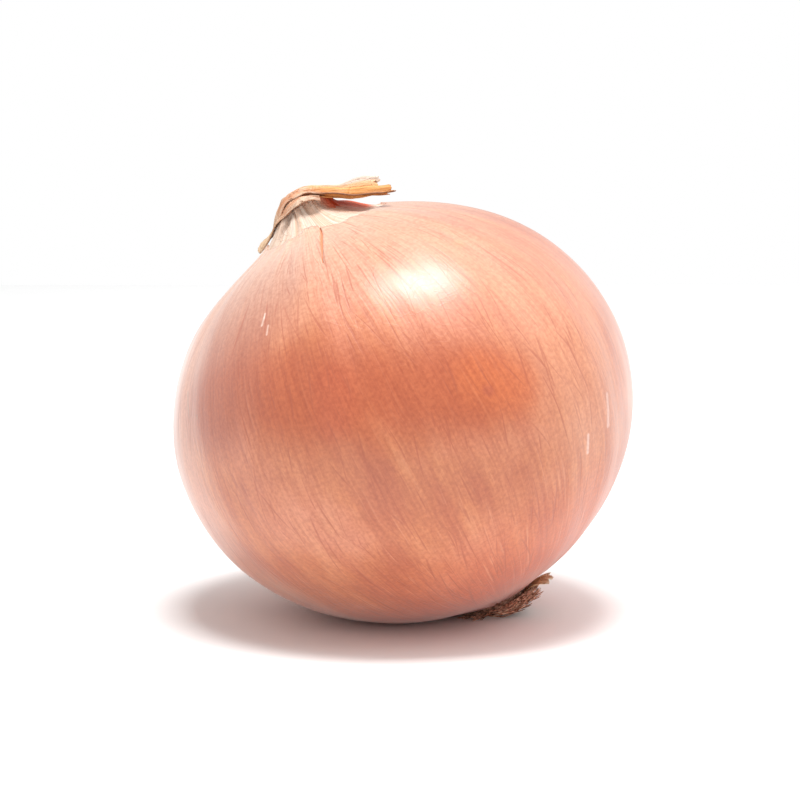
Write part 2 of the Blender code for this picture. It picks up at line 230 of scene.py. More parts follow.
def start_piece(name, add_primitive, **sizes):
    """Adds a primitive with nothing else selected, because an operator acts on all that is."""
    bpy.ops.object.select_all(action="DESELECT")
    add_primitive(**sizes)
    piece = bpy.context.active_object
    piece.name = name
    return piece


def start_sphere(name, meridians, rings):
    add = bpy.ops.mesh.primitive_uv_sphere_add
    return start_piece(name, add, segments=meridians, ring_count=rings, radius=1)


def start_grid(name, along, across):
    add = bpy.ops.mesh.primitive_grid_add
    return start_piece(name, add, x_subdivisions=along, y_subdivisions=across, size=1)


def vertex_array(piece):
    places = np.empty(len(piece.data.vertices) * 3)
    piece.data.vertices.foreach_get("co", places)
    return places.reshape(-1, 3)


def lay(piece, places):
    piece.data.vertices.foreach_set("co", np.asarray(places, dtype=np.float64).ravel())
    piece.data.update()


def rings_and_turns(piece, rings):
    """The ring number, from 0 at the neck's pole, and the turn of each vertex of a new sphere."""
    unit = vertex_array(piece)
    ring = np.round(np.arccos(np.clip(unit[:, 2], -1, 1)) / math.pi * rings)
    return ring, np.arctan2(unit[:, 1], unit[:, 0])


def store(piece, name, values):
    """Keeps one number for each vertex, which a material can read."""
    attribute = piece.data.attributes.new(name, "FLOAT", "POINT")
    attribute.data.foreach_set("value", np.asarray(values, dtype=np.float32))


print("starting helpers ready")

# %% [markdown]
# A sheet starts open. It is turned to face outwards and then gets its thickness from a Solidify
# modifier, so it is closed and both of its sides show. Every piece is finished in the same way.

# %% Finish a piece


def finish_piece(piece, material, slot, *nodes):
    """Keeps the piece in the solids' box, shades it smooth and hangs it on the frame in their place."""
    lay(piece, np.clip(vertex_array(piece), solid_bounds[0], solid_bounds[1]))
    bpy.ops.object.select_all(action="DESELECT")
    piece.select_set(True)
    bpy.context.view_layer.objects.active = piece
    bpy.ops.object.shade_smooth()
    piece.data.materials.clear()
    piece.data.materials.append(material)
    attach(piece, "root")
    if nodes:
        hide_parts(*nodes)
    print(piece.name, len(piece.data.polygons), "faces")


def thicken(piece, thickness):
    """Gives an open sheet its thickness, on the side away from the bulb's middle."""
    bpy.context.view_layer.objects.active = piece
    wall = piece.modifiers.new("Wall", "SOLIDIFY")
    wall.thickness = thickness
    wall.offset = 1.0
    bpy.ops.object.modifier_apply(modifier=wall.name)


def face_outwards(piece):
    """Turns an open sheet's faces so that they look away from the bulb's middle."""
    shape = bmesh.new()
    shape.from_mesh(piece.data)
    bmesh.ops.recalc_face_normals(shape, faces=shape.faces)
    total = sum((face.calc_center_median() - MIDDLE).dot(face.normal) for face in shape.faces)
    if total < 0:
        bmesh.ops.reverse_faces(shape, faces=shape.faces)
    shape.to_mesh(piece.data)
    shape.free()


print("finishing helpers ready")

# %% [markdown]
# Shader nodes are long to write one by one. These helpers add a node, and link or set its inputs in
# the same call, so each material below reads like a recipe.

# %% Node helpers


def fill(tree, socket, value):
    """Links an input to a source socket, or sets its value. A plain colour gets its alpha."""
    if isinstance(value, bpy.types.NodeSocket):
        tree.links.new(value, socket)
    elif isinstance(value, tuple) and socket.type == "RGBA":
        socket.default_value = (*value, 1)
    else:
        socket.default_value = value


def add_node(tree, kind, inputs, **settings):
    """Adds a node. Inputs go by number or name, and settings name its properties."""
    node = tree.nodes.new(kind)
    for key, value in settings.items():
        setattr(node, key, value)
    for key, value in inputs.items():
        fill(tree, node.inputs[key], value)
    return node


def maths(tree, operation, first, second=0.0):
    return add_node(tree, "ShaderNodeMath", {0: first, 1: second}, operation=operation).outputs[0]


def vector_maths(tree, operation, first, second=(0, 0, 0)):
    """One sum on vectors. A dot product, a distance or a length is the node's second output."""
    node = add_node(tree, "ShaderNodeVectorMath", {0: first, 1: second}, operation=operation)
    return node.outputs[1 if operation in ("DOT_PRODUCT", "DISTANCE", "LENGTH") else 0]


def scaled(tree, vector, factor):
    return add_node(tree, "ShaderNodeVectorMath", {0: vector, 3: factor}, operation="SCALE").outputs[0]


def combine(tree, first, second, third=0.0):
    return add_node(tree, "ShaderNodeCombineXYZ", {0: first, 1: second, 2: third}).outputs[0]


def smooth_range(tree, value, low, high):
    """0 at the low value and 1 at the high one, with a soft start and end."""
    inputs = {0: value, 1: low, 2: high}
    return add_node(tree, "ShaderNodeMapRange", inputs, interpolation_type="SMOOTHSTEP").outputs[0]


def noise_field(tree, place, scale, detail, **inputs):
    """Blender's noise texture, by its outputs: Fac is a grey and Color holds three fields at once."""
    inputs = {"Vector": place, "Scale": scale, "Detail": detail, **inputs}
    return add_node(tree, "ShaderNodeTexNoise", inputs).outputs


print("node helpers ready")

# %% [markdown]
# Colours are changed along a scale by a ramp, and laid over each other by a mask. These helpers do
# both, and make the frame of a node group, whose outputs here are all plain values.

# %% Colour and group helpers


def ramp(tree, source, *stops):
    """A colour ramp from (position, colour) stops. A single number stands for a grey."""
    node = add_node(tree, "ShaderNodeValToRGB", {0: source})
    while len(node.color_ramp.elements) < len(stops):
        node.color_ramp.elements.new(0.5)
    for element, (position, colour) in zip(node.color_ramp.elements, stops):
        element.position = position
        element.color = (*colour, 1) if isinstance(colour, tuple) else (colour, colour, colour, 1)
    return node.outputs[0]


def mix_colour(tree, factor, first, second, blend="MIX"):
    """Mixes two colours. They and the factor are sockets or plain values."""
    inputs = {0: factor, 6: first, 7: second}
    return add_node(tree, "ShaderNodeMix", inputs, data_type="RGBA", blend_type=blend).outputs[2]


def tinted(tree, colour, mask, strength, tint):
    """Lays a tint over a colour where the mask is bright."""
    return mix_colour(tree, maths(tree, "MULTIPLY", mask, strength), colour, tint)


def start_group(name, inputs, outputs):
    """Gives the new group and the sockets that bring its inputs in."""
    group = bpy.data.node_groups.new(name, "ShaderNodeTree")
    for socket, kind in inputs.items():
        group.interface.new_socket(socket, in_out="INPUT", socket_type="NodeSocket" + kind)
    for socket in outputs:
        group.interface.new_socket(socket, in_out="OUTPUT", socket_type="NodeSocketFloat")
    return group, group.nodes.new("NodeGroupInput").outputs


def end_group(group, *results):
    leave = group.nodes.new("NodeGroupOutput")
    for socket, result in zip(leave.inputs, results):
        group.links.new(result, socket)
    print(group.name, len(group.nodes), "nodes")
    return group


print("colour and group helpers ready")

# %% [markdown]
# Dry onion skin is a sheet of fine veins that run from root to neck. The group below turns a place
# in the growth frame into seamless streaks: the turn is read as a point on a circle, so the pattern
# closes on itself, and the tilt only moves slowly through the noise. It gives out wide streaks, fine
# fibres, pale lines and dark lines.

# %% The vein group
VEIN_WANDER, WANDER_SCALE = 0.05, 60.0


def streaks(tree, circle, tilt, round_scale, along_scale, detail=0.0):
    """Noise along the meridians: circle is a point on the unit circle, tilt the angle from the neck."""
    split = add_node(tree, "ShaderNodeSeparateXYZ", {0: scaled(tree, circle, round_scale)}).outputs
    place = combine(tree, split[0], split[1], maths(tree, "MULTIPLY", tilt, along_scale))
    return noise_field(tree, place, 1.0, detail, Roughness=0.55)["Fac"]


def twisted(tree, circle, tilt, amount):
    """Turns the point on the circle further with the tilt, so that lines run aslant."""
    inputs = {0: circle, 3: maths(tree, "MULTIPLY", tilt, amount)}
    return add_node(tree, "ShaderNodeVectorRotate", inputs, rotation_type="Z_AXIS").outputs[0]


def build_vein_group():
    names = ("Tilt", "Streaks", "Fibres", "Pale lines", "Dark lines")
    group, entry = start_group("Growth veins", {"Growth place": "Vector"}, names)
    place = entry["Growth place"]
    split = add_node(group, "ShaderNodeSeparateXYZ", {0: place}).outputs
    flat = combine(group, split[0], split[1])
    circle = vector_maths(group, "NORMALIZE", flat)
    tilt = maths(group, "ARCTAN2", vector_maths(group, "LENGTH", flat), split[2])
    field = noise_field(group, place, WANDER_SCALE, 1.0)["Color"]
    wander = scaled(group, vector_maths(group, "SUBTRACT", field, (0.5, 0.5, 0.5)), VEIN_WANDER)
    bent = vector_maths(group, "ADD", circle, wander)
    # Lines are the crests of a noise, so they fade out at both ends, as veins do.
    straight = smooth_range(group, streaks(group, bent, tilt, 82.0, 3.2), 0.67, 0.80)
    left, right = twisted(group, bent, tilt, 0.22), twisted(group, bent, tilt, -0.3)
    aslant = smooth_range(group, streaks(group, left, tilt, 68.0, 3.0), 0.69, 0.82)
    across = smooth_range(group, streaks(group, right, tilt, 58.0, 3.6), 0.72, 0.85)
    wide = streaks(group, bent, tilt, 8.0, 2.2, 3.0)
    fibres = streaks(group, bent, tilt, 70.0, 3.0, 2.0)
    pale = smooth_range(group, streaks(group, bent, tilt, 88.0, 3.0), 0.66, 0.84)
    dark = maths(group, "MAXIMUM", straight, maths(group, "MAXIMUM", aslant, across))
    return end_group(group, tilt, wide, fibres, pale, dark)


VEINS = build_vein_group()

# %% [markdown]
# Every skin also has soft blotches, where sun and storage coloured it unevenly, a fine grain and the
# thin creases of crumpled paper. They are one group too, used by the skin, the collar, the leaf, the
# roots and the husk.

# %% The paper group
BLOTCH_SCALE, CREASE_SCALE, CREASE_SHARPNESS = 55.0, 210.0, 22.0


def thin_lines(tree, field, sharpness):
    """Bright thin lines where the field crosses its middle value."""
    away = maths(tree, "ABSOLUTE", maths(tree, "SUBTRACT", field, 0.5))
    return maths(tree, "POWER", maths(tree, "SUBTRACT", 1.0, maths(tree, "MULTIPLY", away, 2.0)), sharpness)


def build_paper_group():
    names = ("Blotches", "Grain", "Creases")
    group, entry = start_group("Dry paper", {"Place": "Vector", "Grain size": "Float"}, names)
    place = entry["Place"]
    blotches = noise_field(group, place, BLOTCH_SCALE, 4.0)["Fac"]
    grain = noise_field(group, place, entry["Grain size"], 4.0)["Fac"]
    crease = noise_field(group, place, CREASE_SCALE, 2.0, Distortion=1.2)["Fac"]
    return end_group(group, blotches, grain, thin_lines(group, crease, CREASE_SHARPNESS))


PAPER = build_paper_group()

# %% [markdown]
# Single marks, such as a rubbed spot or a scratch, are strokes between two places. One group measures
# how far a point lies from the stroke, and gives out a soft mask.

# %% The mark group


def build_mark_group():
    inputs = {"Place": "Vector", "Start": "Vector", "End": "Vector", "Width": "Float", "Softness": "Float"}
    group, entry = start_group("Single mark", inputs, ("Mask",))
    run = vector_maths(group, "SUBTRACT", entry["End"], entry["Start"])
    offset = vector_maths(group, "SUBTRACT", entry["Place"], entry["Start"])
    along = vector_maths(group, "DOT_PRODUCT", offset, run)
    share = maths(group, "DIVIDE", along, vector_maths(group, "DOT_PRODUCT", run, run))
    share = maths(group, "MINIMUM", maths(group, "MAXIMUM", share, 0.0), 1.0)
    away = vector_maths(group, "DISTANCE", offset, scaled(group, run, share))
    far = maths(group, "ADD", entry["Width"], entry["Softness"])
    return end_group(group, smooth_range(group, away, far, entry["Width"]))


MARK = build_mark_group()

# %% [markdown]
# A material starts with its Principled shader and a place in the growth frame. The first Mapping node
# moves the bulb's middle to zero, and the second turns the growth axis upright.

# %% Start a material


def start_material(name):
    material = bpy.data.materials.new(name)
    material.use_nodes = True
    tree = material.node_tree
    where = add_node(tree, "ShaderNodeTexCoord", {}).outputs["Object"]
    centred = add_node(tree, "ShaderNodeMapping", {"Vector": where, "Location": -MIDDLE}).outputs[0]
    turned = add_node(tree, "ShaderNodeMapping", {"Vector": centred, "Rotation": (0, GROWTH_LEAN, 0)})
    return material, tree, tree.nodes["Principled BSDF"], turned.outputs[0]


def feed(tree, node, **inputs):
    """Fills a node's named inputs. An underscore stands for a space."""
    for name, value in inputs.items():
        fill(tree, node.inputs[name.replace("_", " ")], value)


def add_group(tree, group, **inputs):
    node = add_node(tree, "ShaderNodeGroup", {}, node_tree=group)
    feed(tree, node, **inputs)
    return node.outputs


def kept_value(tree, name):
    """A number that is kept at each vertex."""
    return add_node(tree, "ShaderNodeAttribute", {}, attribute_name=name).outputs["Fac"]


def bump_normal(tree, height, strength, depth, **under):
    """The normal of a surface with this height. It can lie over another bump, given as Normal."""
    inputs = {"Height": height, "Strength": strength, "Distance": depth, **under}
    return add_node(tree, "ShaderNodeBump", inputs).outputs[0]


print("material helpers ready")

# %% [markdown]
# A real bulb has marks of its own: deeper patches, scratches, a scar and a spot. The same table also
# holds painted light and shade: a paler patch at the front right is painted sheen, a pale band on the
# left edge is painted reflection, the front and the upper left are deepened with painted shade, and a
# dark rim round the roots is painted shadow. Each is one stroke on the skin, placed by its angles.
# Such a table is short, and a mark can be moved or left out by hand.

# %% The skin's marks
SKIN_MARKS_AND_PAINTED_LIGHT = (
    # Colour, strength, start and end as tilt and turn in degrees, width and softness in millimetres.
    # Painted sheen: a paler patch at the front right, where the overhead light falls.
    ((0.70, 0.310, 0.170), 0.35, (56, -46), (100, -43), 4.0, 10.0),
    # Painted shade: the deeper patch in front.
    ((0.45, 0.088, 0.023), 0.90, (68, -112), (86, -68), 3.0, 10.0),
    ((0.58, 0.130, 0.030), 0.70, (84, -66), (89, -61), 1.5, 6.0),
    ((0.50, 0.095, 0.032), 0.50, (70, -99), (77, -101), 1.0, 5.0),
    # Painted shade: the darker upper left, away from the light.
    ((0.40, 0.085, 0.030), 0.85, (36, -122), (62, -136), 5.0, 9.0),
    ((0.42, 0.080, 0.030), 0.70, (87.2, -66.8), (87.6, -66.5), 0.3, 1.1),
    ((0.68, 0.240, 0.090), 0.70, (51.5, -43), (52, -43), 0.3, 1.2),
    ((0.90, 0.700, 0.600), 0.70, (44, -115.5), (47.2, -116.6), 0.05, 0.3),
    ((0.90, 0.700, 0.600), 0.50, (48, -114), (50.5, -114.6), 0.05, 0.25),
    ((0.90, 0.720, 0.640), 0.45, (110, -44), (114, -45), 0.1, 0.5),
    ((0.90, 0.720, 0.640), 0.40, (104, -33), (111, -35), 0.1, 0.6),
    ((0.30, 0.150, 0.090), 0.75, (57.8, -153.3), (64.3, -151.2), 0.05, 0.35),
    ((0.30, 0.140, 0.080), 0.60, (64.4, -145.5), (64.8, -145.4), 0.1, 0.4),
    # Painted reflection: the pale band along the left edge.
    ((0.76, 0.480, 0.380), 0.42, (52, -158), (94, -160), 0.5, 11.0),
    # Painted shadow: a brown halo and a dark line round the roots, where they meet the skin.
    ((0.48, 0.150, 0.045), 0.60, (164, -150), (165, -95), 0.8, 3.0),
    ((0.48, 0.150, 0.045), 0.60, (165, -95), (163, -40), 0.8, 3.0),
    ((0.16, 0.040, 0.015), 0.80, (167.5, -150), (168, -95), 0.6, 1.8),
    ((0.16, 0.040, 0.015), 0.80, (168, -95), (166.5, -40), 0.6, 1.8),
)


def on_skin(tilt, turn):
    """A place on the skin, from degrees, in the growth frame that the materials read."""
    tilt, turn = np.radians([tilt]), np.radians([turn])
    way = Vector(directions(tilt, turn)[0]) * float(skin_radius(tilt, turn)[0])
    return Vector((way.dot(SIDE), way.dot(BACK), way.dot(GROWTH)))


def marked(tree, place, colour, mark_colour, strength, start, end, width, softness):
    """Paints one mark over a colour. Start and end are (tilt, turn) in degrees, widths in millimetres."""
    ends = {"Start": on_skin(*start), "End": on_skin(*end)}
    mask = add_group(tree, MARK, Place=place, Width=width * MM, Softness=softness * MM, **ends)["Mask"]
    return tinted(tree, colour, mask, strength, mark_colour)


print(len(SKIN_MARKS_AND_PAINTED_LIGHT), "marks on the skin")

# %% [markdown]
# The outer skin is copper coloured and paler towards the neck. It is redder and darker towards the
# root, partly its own colour and partly painted shade under the bulb, and painted shade makes it
# deepest in front. Veins are darker lines, some of them aslant, and pale fibres show near the root. It
# has a satin sheen like waxed paper, so a thin coat lies over it, except near the root, where it is
# dull.

# %% Copper skin
SKIN_GRAIN = 1600.0
COPPERS = ((0.38, (0.47, 0.118, 0.043)), (0.50, (0.56, 0.170, 0.062)), (0.62, (0.64, 0.240, 0.102)))
PINK, NECK_PALE, ROOT_RED_AND_SHADE = (0.58, 0.185, 0.105), (0.73, 0.49, 0.35), (0.55, 0.092, 0.020)
PALE_VEIN, DARK_VEIN, SLIT_BROWN = (0.80, 0.36, 0.20), (0.38, 0.075, 0.026), (0.66, 0.22, 0.075)
FIBRE_TINTS = ((0.34, (0.86, 0.76, 0.70)), (0.60, (1.06, 1.12, 1.16)))
GRAIN_TINTS = ((0.34, (0.84, 0.74, 0.70)), (0.64, (1.10, 1.18, 1.22)))


def skin_colour(tree, place, veins, paper, way_down):
    """Way_down is the tilt as a share, 0 at the neck and 1 at the root."""
    mottle = maths(tree, "MULTIPLY", maths(tree, "ADD", veins["Streaks"], paper["Blotches"]), 0.5)
    pink = ramp(tree, paper["Blotches"], (0.44, 0.0), (0.64, 0.6))
    colour = mix_colour(tree, pink, ramp(tree, mottle, *COPPERS), PINK)
    # Some of the marks are painted light and shade: sheen, reflection, shade and the shadow round the
    # roots.
    for mark in SKIN_MARKS_AND_PAINTED_LIGHT:
        colour = marked(tree, place, colour, *mark)
    top = ramp(tree, veins["Tilt"], (0.22, 0.80), (0.62, 0.38), (1.0, 0.0))
    colour = mix_colour(tree, top, colour, NECK_PALE)
    # Redder and darker towards the root: partly the skin's own colour, partly painted shade under the bulb.
    colour = mix_colour(tree, ramp(tree, way_down, (0.64, 0.0), (0.80, 0.90)), colour, ROOT_RED_AND_SHADE)
    colour = mix_colour(tree, 0.6, colour, ramp(tree, veins["Fibres"], *FIBRE_TINTS), "MULTIPLY")
    colour = mix_colour(tree, 0.65, colour, ramp(tree, paper["Grain"], *GRAIN_TINTS), "MULTIPLY")
    near_root = ramp(tree, way_down, (0.50, 0.06), (0.72, 0.40))
    colour = tinted(tree, colour, veins["Pale lines"], near_root, PALE_VEIN)
    colour = tinted(tree, colour, veins["Dark lines"], 0.55, DARK_VEIN)
    return mix_colour(tree, kept_value(tree, "slit"), colour, SLIT_BROWN)


def build_skin():
    material, tree, shader, place = start_material("copper_skin")
    veins = add_group(tree, VEINS, Growth_place=place)
    paper = add_group(tree, PAPER, Place=place, Grain_size=SKIN_GRAIN)
    way_down = maths(tree, "MULTIPLY", veins["Tilt"], 1 / math.pi)
    ridges = maths(tree, "ADD", veins["Fibres"], maths(tree, "MULTIPLY", veins["Streaks"], 1.5))
    ridges = maths(tree, "SUBTRACT", ridges, maths(tree, "MULTIPLY", veins["Dark lines"], 0.35))
    crumple = maths(tree, "ADD", paper["Grain"], paper["Creases"])
    ridged = bump_normal(tree, ridges, 0.35, 0.12 * MM)
    feed(
        tree, shader,
        Base_Color=skin_colour(tree, place, veins, paper, way_down),
        Roughness=ramp(tree, paper["Grain"], (0.3, 0.36), (0.7, 0.48)),
        Normal=bump_normal(tree, crumple, 0.25, 0.06 * MM, Normal=ridged),
        Coat_Weight=ramp(tree, way_down, (0.55, 0.5), (0.68, 0.08)),
        Coat_Roughness=0.30, Sheen_Weight=0.42, Sheen_Roughness=0.5,
    )
    return material


SKIN = build_skin()
print("skin nodes", len(SKIN.node_tree.nodes))

# %% [markdown]
# The outer skin starts as a sphere with its poles on the growth axis. Ring by ring it becomes the
# recess under the neck, the torn edge, and the open skin down to the root. The meridians are drawn
# together at the slit, so that it can be as narrow as the real one.

# %% The outer skin's places
BULB_MERIDIANS, BULB_RINGS, TEAR_RING = 360, 232, 14
RECESS, LIP_RISE, LIP_WIDTH = 1.2 * MM, 0.16 * MM, math.radians(1.6)
# The slit's tilts and turns in degrees, and how wide it gapes, as a share, at some tilts.
SLIT_LINE = ((11, 15.2, 23, 31, 36.8), (-75.5, -78.3, -84, -87.5, -89.4))
SLIT_OPENING = (np.radians((11, 15, 20, 24, 28, 32, 34.5, 35)), (0.2, 0.25, 0.6, 0.65, 0.42, 0.22, 0.14, 0))
SLIT_HALF_WIDTH, SLIT_DEPTH = 0.45 * MM, 0.45 * MM
GATHER_SHARE, GATHER_WIDTH, GATHER_END = 0.75, math.radians(9), np.radians((45, 70))
NECK_CREASE, ROOT_CREASE, PAPER_WAVE = 0.16 * MM, 0.22 * MM, 0.05 * MM
NECK_CREASES_END, ROOT_CREASES_START = np.radians((15, 48)), np.radians((140, 170))


def slit_turn(tilt):
    return np.interp(tilt, *np.radians(SLIT_LINE))


def gather_at_slit(tilt, turn):
    """Draws the meridians together near the slit."""
    away = wrapped(turn - slit_turn(tilt))
    near = 1 - smooth_step(*GATHER_END, tilt)
    return turn - GATHER_SHARE * near * away * bump_at(away, 0, GATHER_WIDTH)


def slit_share(tilt, turn):
    """1 in the middle of the slit, and 0 outside it."""
    half = SLIT_HALF_WIDTH * np.interp(tilt, *SLIT_OPENING)
    away = np.abs(wrapped(turn - slit_turn(tilt))) * np.sin(tilt) * BULB_HALF_HEIGHT
    return np.where(half > 0, 1 - smooth_step(0.7, 1.25, away / np.maximum(half, 1e-6)), 0)


def crease_height(tilt, turn):
    """Creases that radiate from the neck and the root, and a faint paper wave all over."""
    at_neck = 1 - smooth_step(*NECK_CREASES_END, tilt)
    at_root = smooth_step(*ROOT_CREASES_START, tilt)
    neck = NECK_CREASE * at_neck * streak_noise(tilt, turn, 9.0, 1.5, 3.0)
    root = ROOT_CREASE * at_root * streak_noise(tilt, turn, 10.0, 2.0, 7.0)
    wave = PAPER_WAVE * streak_noise(tilt, turn, 16.0, 5.0, 11.0)
    return neck + root + wave * np.sin(tilt)


def outer_skin_places(ring, turn):
    edge_turn = gather_at_slit(tear_tilt(turn), turn)
    edge = tear_tilt(edge_turn)
    share = np.clip((ring - TEAR_RING) / (BULB_RINGS - TEAR_RING), 0, 1)
    tilt = edge + (math.pi - edge) * share
    turn = gather_at_slit(tilt, turn)
    lip = LIP_RISE * np.exp(-((tilt - edge) / LIP_WIDTH))
    lip *= 0.6 + 0.8 * streak_noise(tilt, turn, 5.0, 0.1, 5.0)
    radius = skin_radius(tilt, turn) + lip + crease_height(tilt, turn) - SLIT_DEPTH * slit_share(tilt, turn)
    inner_share = np.clip(ring / (TEAR_RING - 1), 0, 0.985)
    inner_tilt = edge * inner_share
    inner_radius = body_radius(directions(inner_tilt, turn)) - RECESS
    inside = ring < TEAR_RING
    tilt = np.where(inside, inner_tilt, tilt)
    radius = np.where(inside, inner_radius, radius)
    places = place_at(tilt, turn, radius)
    places[:, 2] = np.maximum(places[:, 2], 0)
    return places


print("slit from", SLIT_LINE[0][0], "to", SLIT_LINE[0][-1], "degrees of tilt")

# %% [markdown]
# Now the sphere takes those places. Each vertex also keeps how far it lies in the slit, which the
# material reads to show the browner skin there.

# %% Outer skin
outer_skin = start_sphere("outer_skin", BULB_MERIDIANS, BULB_RINGS)
places = outer_skin_places(*rings_and_turns(outer_skin, BULB_RINGS))
lay(outer_skin, places)
tilt, turn, _ = angles_of(places)
store(outer_skin, "slit", slit_share(tilt, turn))
finish_piece(outer_skin, SKIN, "copper_skin", "bulb")

# %% [markdown]
# The inner skin fills the torn edge and gathers in sharp pleats up to the throat. On the right, under
# the flap, it swells to a ridge. It starts as a sphere: the upper rings are the pleated top and the
# lower rings its plain underside, so the sheet is closed. Its rim is tucked under the torn lip.

# %% The inner skin's form
SKIN_STEP = 0.3 * MM
COLLAR_MERIDIANS, COLLAR_RINGS, COLLAR_EDGE_RING = 320, 84, 72
PLEAT_DEPTH, CREASE_DEPTH = 0.50 * MM, 0.18 * MM
RIDGE_HEIGHT, RIDGE_TURN, RIDGE_TURN_WIDTH = 1.1 * MM, math.radians(18), math.radians(26)
RIDGE_TILT, RIDGE_TILT_WIDTH = math.radians(12.5), math.radians(4.5)


def collar_radius(tilt, turn):
    across = (turn - RIDGE_TURN) / RIDGE_TURN_WIDTH
    along = (tilt - RIDGE_TILT) / RIDGE_TILT_WIDTH
    return skin_radius(tilt, turn) - SKIN_STEP + RIDGE_HEIGHT * np.exp(-across * across - along * along)


def pleat_height(tilt, turn, share):
    """Folds with sharp valleys, fine and deep near the throat and flat at the rim."""
    gather = np.sin(math.pi * np.clip(share, 0, 1)) ** 0.7
    broad = np.abs(streak_noise(tilt, turn, 3.6, 2.0, 21.0))
    fine = np.abs(streak_noise(tilt, turn, 10.0, 3.0, 23.0))
    return gather * (PLEAT_DEPTH * (broad - 0.22) + CREASE_DEPTH * (fine - 0.2))


print("ridge", RIDGE_HEIGHT / MM, "mm high")

# %% [markdown]
# One fold at the front left is deeper than the pleats. It is measured from a line in space, so that
# the bundle above it can be given the same fold.

# %% The fold and the inner skin's places
DARK_FOLD, FOLD_DEPTH, FOLD_WIDTH = ((-17.3, -3.6, 73.9), (-19.8, -5.0, 69.4)), 0.75 * MM, 0.55 * MM
UNDERSIDE_STEP, RIM_TUCK = 0.9 * MM, 0.999


def fold_depth(places):
    """The one dark fold at the front left of the neck."""
    first, last = np.array(DARK_FOLD) * MM
    run = last - first
    share = np.clip((places - first) @ run / (run @ run), 0, 1)
    away = np.linalg.norm(places - first - share[:, None] * run, axis=1)
    return FOLD_DEPTH * bump_at(away, 0, FOLD_WIDTH) * np.sin(math.pi * np.clip(share, 0.08, 0.92))


def collar_places(ring, turn):
    edge = tear_tilt(turn) * RIM_TUCK
    share = ring / COLLAR_EDGE_RING
    top_tilt = edge * np.clip(share, 0, 1)
    top = collar_radius(top_tilt, turn) + pleat_height(top_tilt, turn, share)
    top -= fold_depth(place_at(top_tilt, turn, top))
    under_tilt = edge * (COLLAR_RINGS - ring) / (COLLAR_RINGS - COLLAR_EDGE_RING)
    under = body_radius(directions(under_tilt, turn)) - UNDERSIDE_STEP
    above = ring <= COLLAR_EDGE_RING
    tilt, radius = np.where(above, top_tilt, under_tilt), np.where(above, top, under)
    return place_at(tilt, turn, radius)


print("fold in front, mm deep:", FOLD_DEPTH / MM)

# %% [markdown]
# The inner skin is younger than the outer one and never saw the sun, so it is cream. Its fibres are
# the same group as on the outer skin, in pale colours, which keeps the two skins of one family. Where
# a vertex keeps a red share, the skin is red, partly its own colour and partly painted shade under
# the flap. Where it keeps a brown share, it shows painted shade in the dark fold, and two small dark
# spots.

# %% Cream inner skin
CREAMS = ((0.34, (0.60, 0.43, 0.33)), (0.48, (0.72, 0.56, 0.45)), (0.62, (0.77, 0.64, 0.54)))
CREAM_STREAKS = ((0.36, (0.90, 0.66, 0.50)), (0.56, (1.0, 1.0, 1.0)))
PALE_FIBRE, RED_AND_FLAP_SHADE, FOLD_SHADE_AND_SPOTS_BROWN = (0.93, 0.83, 0.72), (0.54, 0.078, 0.020), (0.16, 0.065, 0.03)


def build_cream():
    material, tree, shader, place = start_material("cream_inner_skin")
    veins = add_group(tree, VEINS, Growth_place=place)
    paper = add_group(tree, PAPER, Place=place, Grain_size=1500.0)
    base = ramp(tree, veins["Fibres"], *CREAMS)
    colour = mix_colour(tree, 0.55, base, ramp(tree, veins["Streaks"], *CREAM_STREAKS), "MULTIPLY")
    colour = tinted(tree, colour, veins["Pale lines"], 0.5, PALE_FIBRE)
    # Red under the flap is partly the skin's own colour and partly painted shade; brown is painted shade in
    # the dark fold, and two small dark spots.
    colour = mix_colour(tree, kept_value(tree, "red_and_flap_shade"), colour, RED_AND_FLAP_SHADE)
    colour = mix_colour(tree, kept_value(tree, "fold_shade_and_spots"), colour, FOLD_SHADE_AND_SPOTS_BROWN)
    ridges = maths(tree, "ADD", veins["Fibres"], paper["Creases"])
    rough = ramp(tree, paper["Grain"], (0.3, 0.45), (0.7, 0.65))
    feed(tree, shader, Base_Color=colour, Roughness=rough, Normal=bump_normal(tree, ridges, 0.6, 0.15 * MM))
    return material


CREAM = build_cream()
print("cream nodes", len(CREAM.node_tree.nodes))

# %% [markdown]
# The sheet is laid in place, and two shares are kept at its vertices: red in the hollow under the
# flap, partly the skin's own colour and partly painted shade, and brown for painted shade in the dark
# fold.

# %% Inner skin of the neck
FLAP_SHADE_TURN, FLAP_SHADE_WIDTH = math.radians(8), math.radians(30)
RED_START, RED_END = np.radians((2, 5)), np.radians((16, 20))

inner_skin = start_sphere("neck_inner_skin", COLLAR_MERIDIANS, COLLAR_RINGS)
places = collar_places(*rings_and_turns(inner_skin, COLLAR_RINGS))
lay(inner_skin, places)
tilt, turn, _ = angles_of(places)
# Red share: the ridge's own red and painted shade in the hollow under the flap. Brown share: painted shade
# in the dark fold.
under_flap = bump_at(turn, FLAP_SHADE_TURN, FLAP_SHADE_WIDTH) * smooth_step(*RED_START, tilt)
store(inner_skin, "red_and_flap_shade", np.clip(under_flap * 1.25, 0, 1) * (1 - smooth_step(*RED_END, tilt)))
store(inner_skin, "fold_shade_and_spots", np.clip(fold_depth(places) / FOLD_DEPTH * 1.3, 0, 1))
finish_piece(inner_skin, CREAM, "cream_inner_skin", "neck_collar")

# %% [markdown]
# The neck leaf is one dry sheet. From a rounded tab at the lower left it arches over the throat, is
# twisted together there, and ends in a ragged flap on the right. Its front and back edges are two
# lines of points in millimetres from the throat, and the sheet is stretched between them.

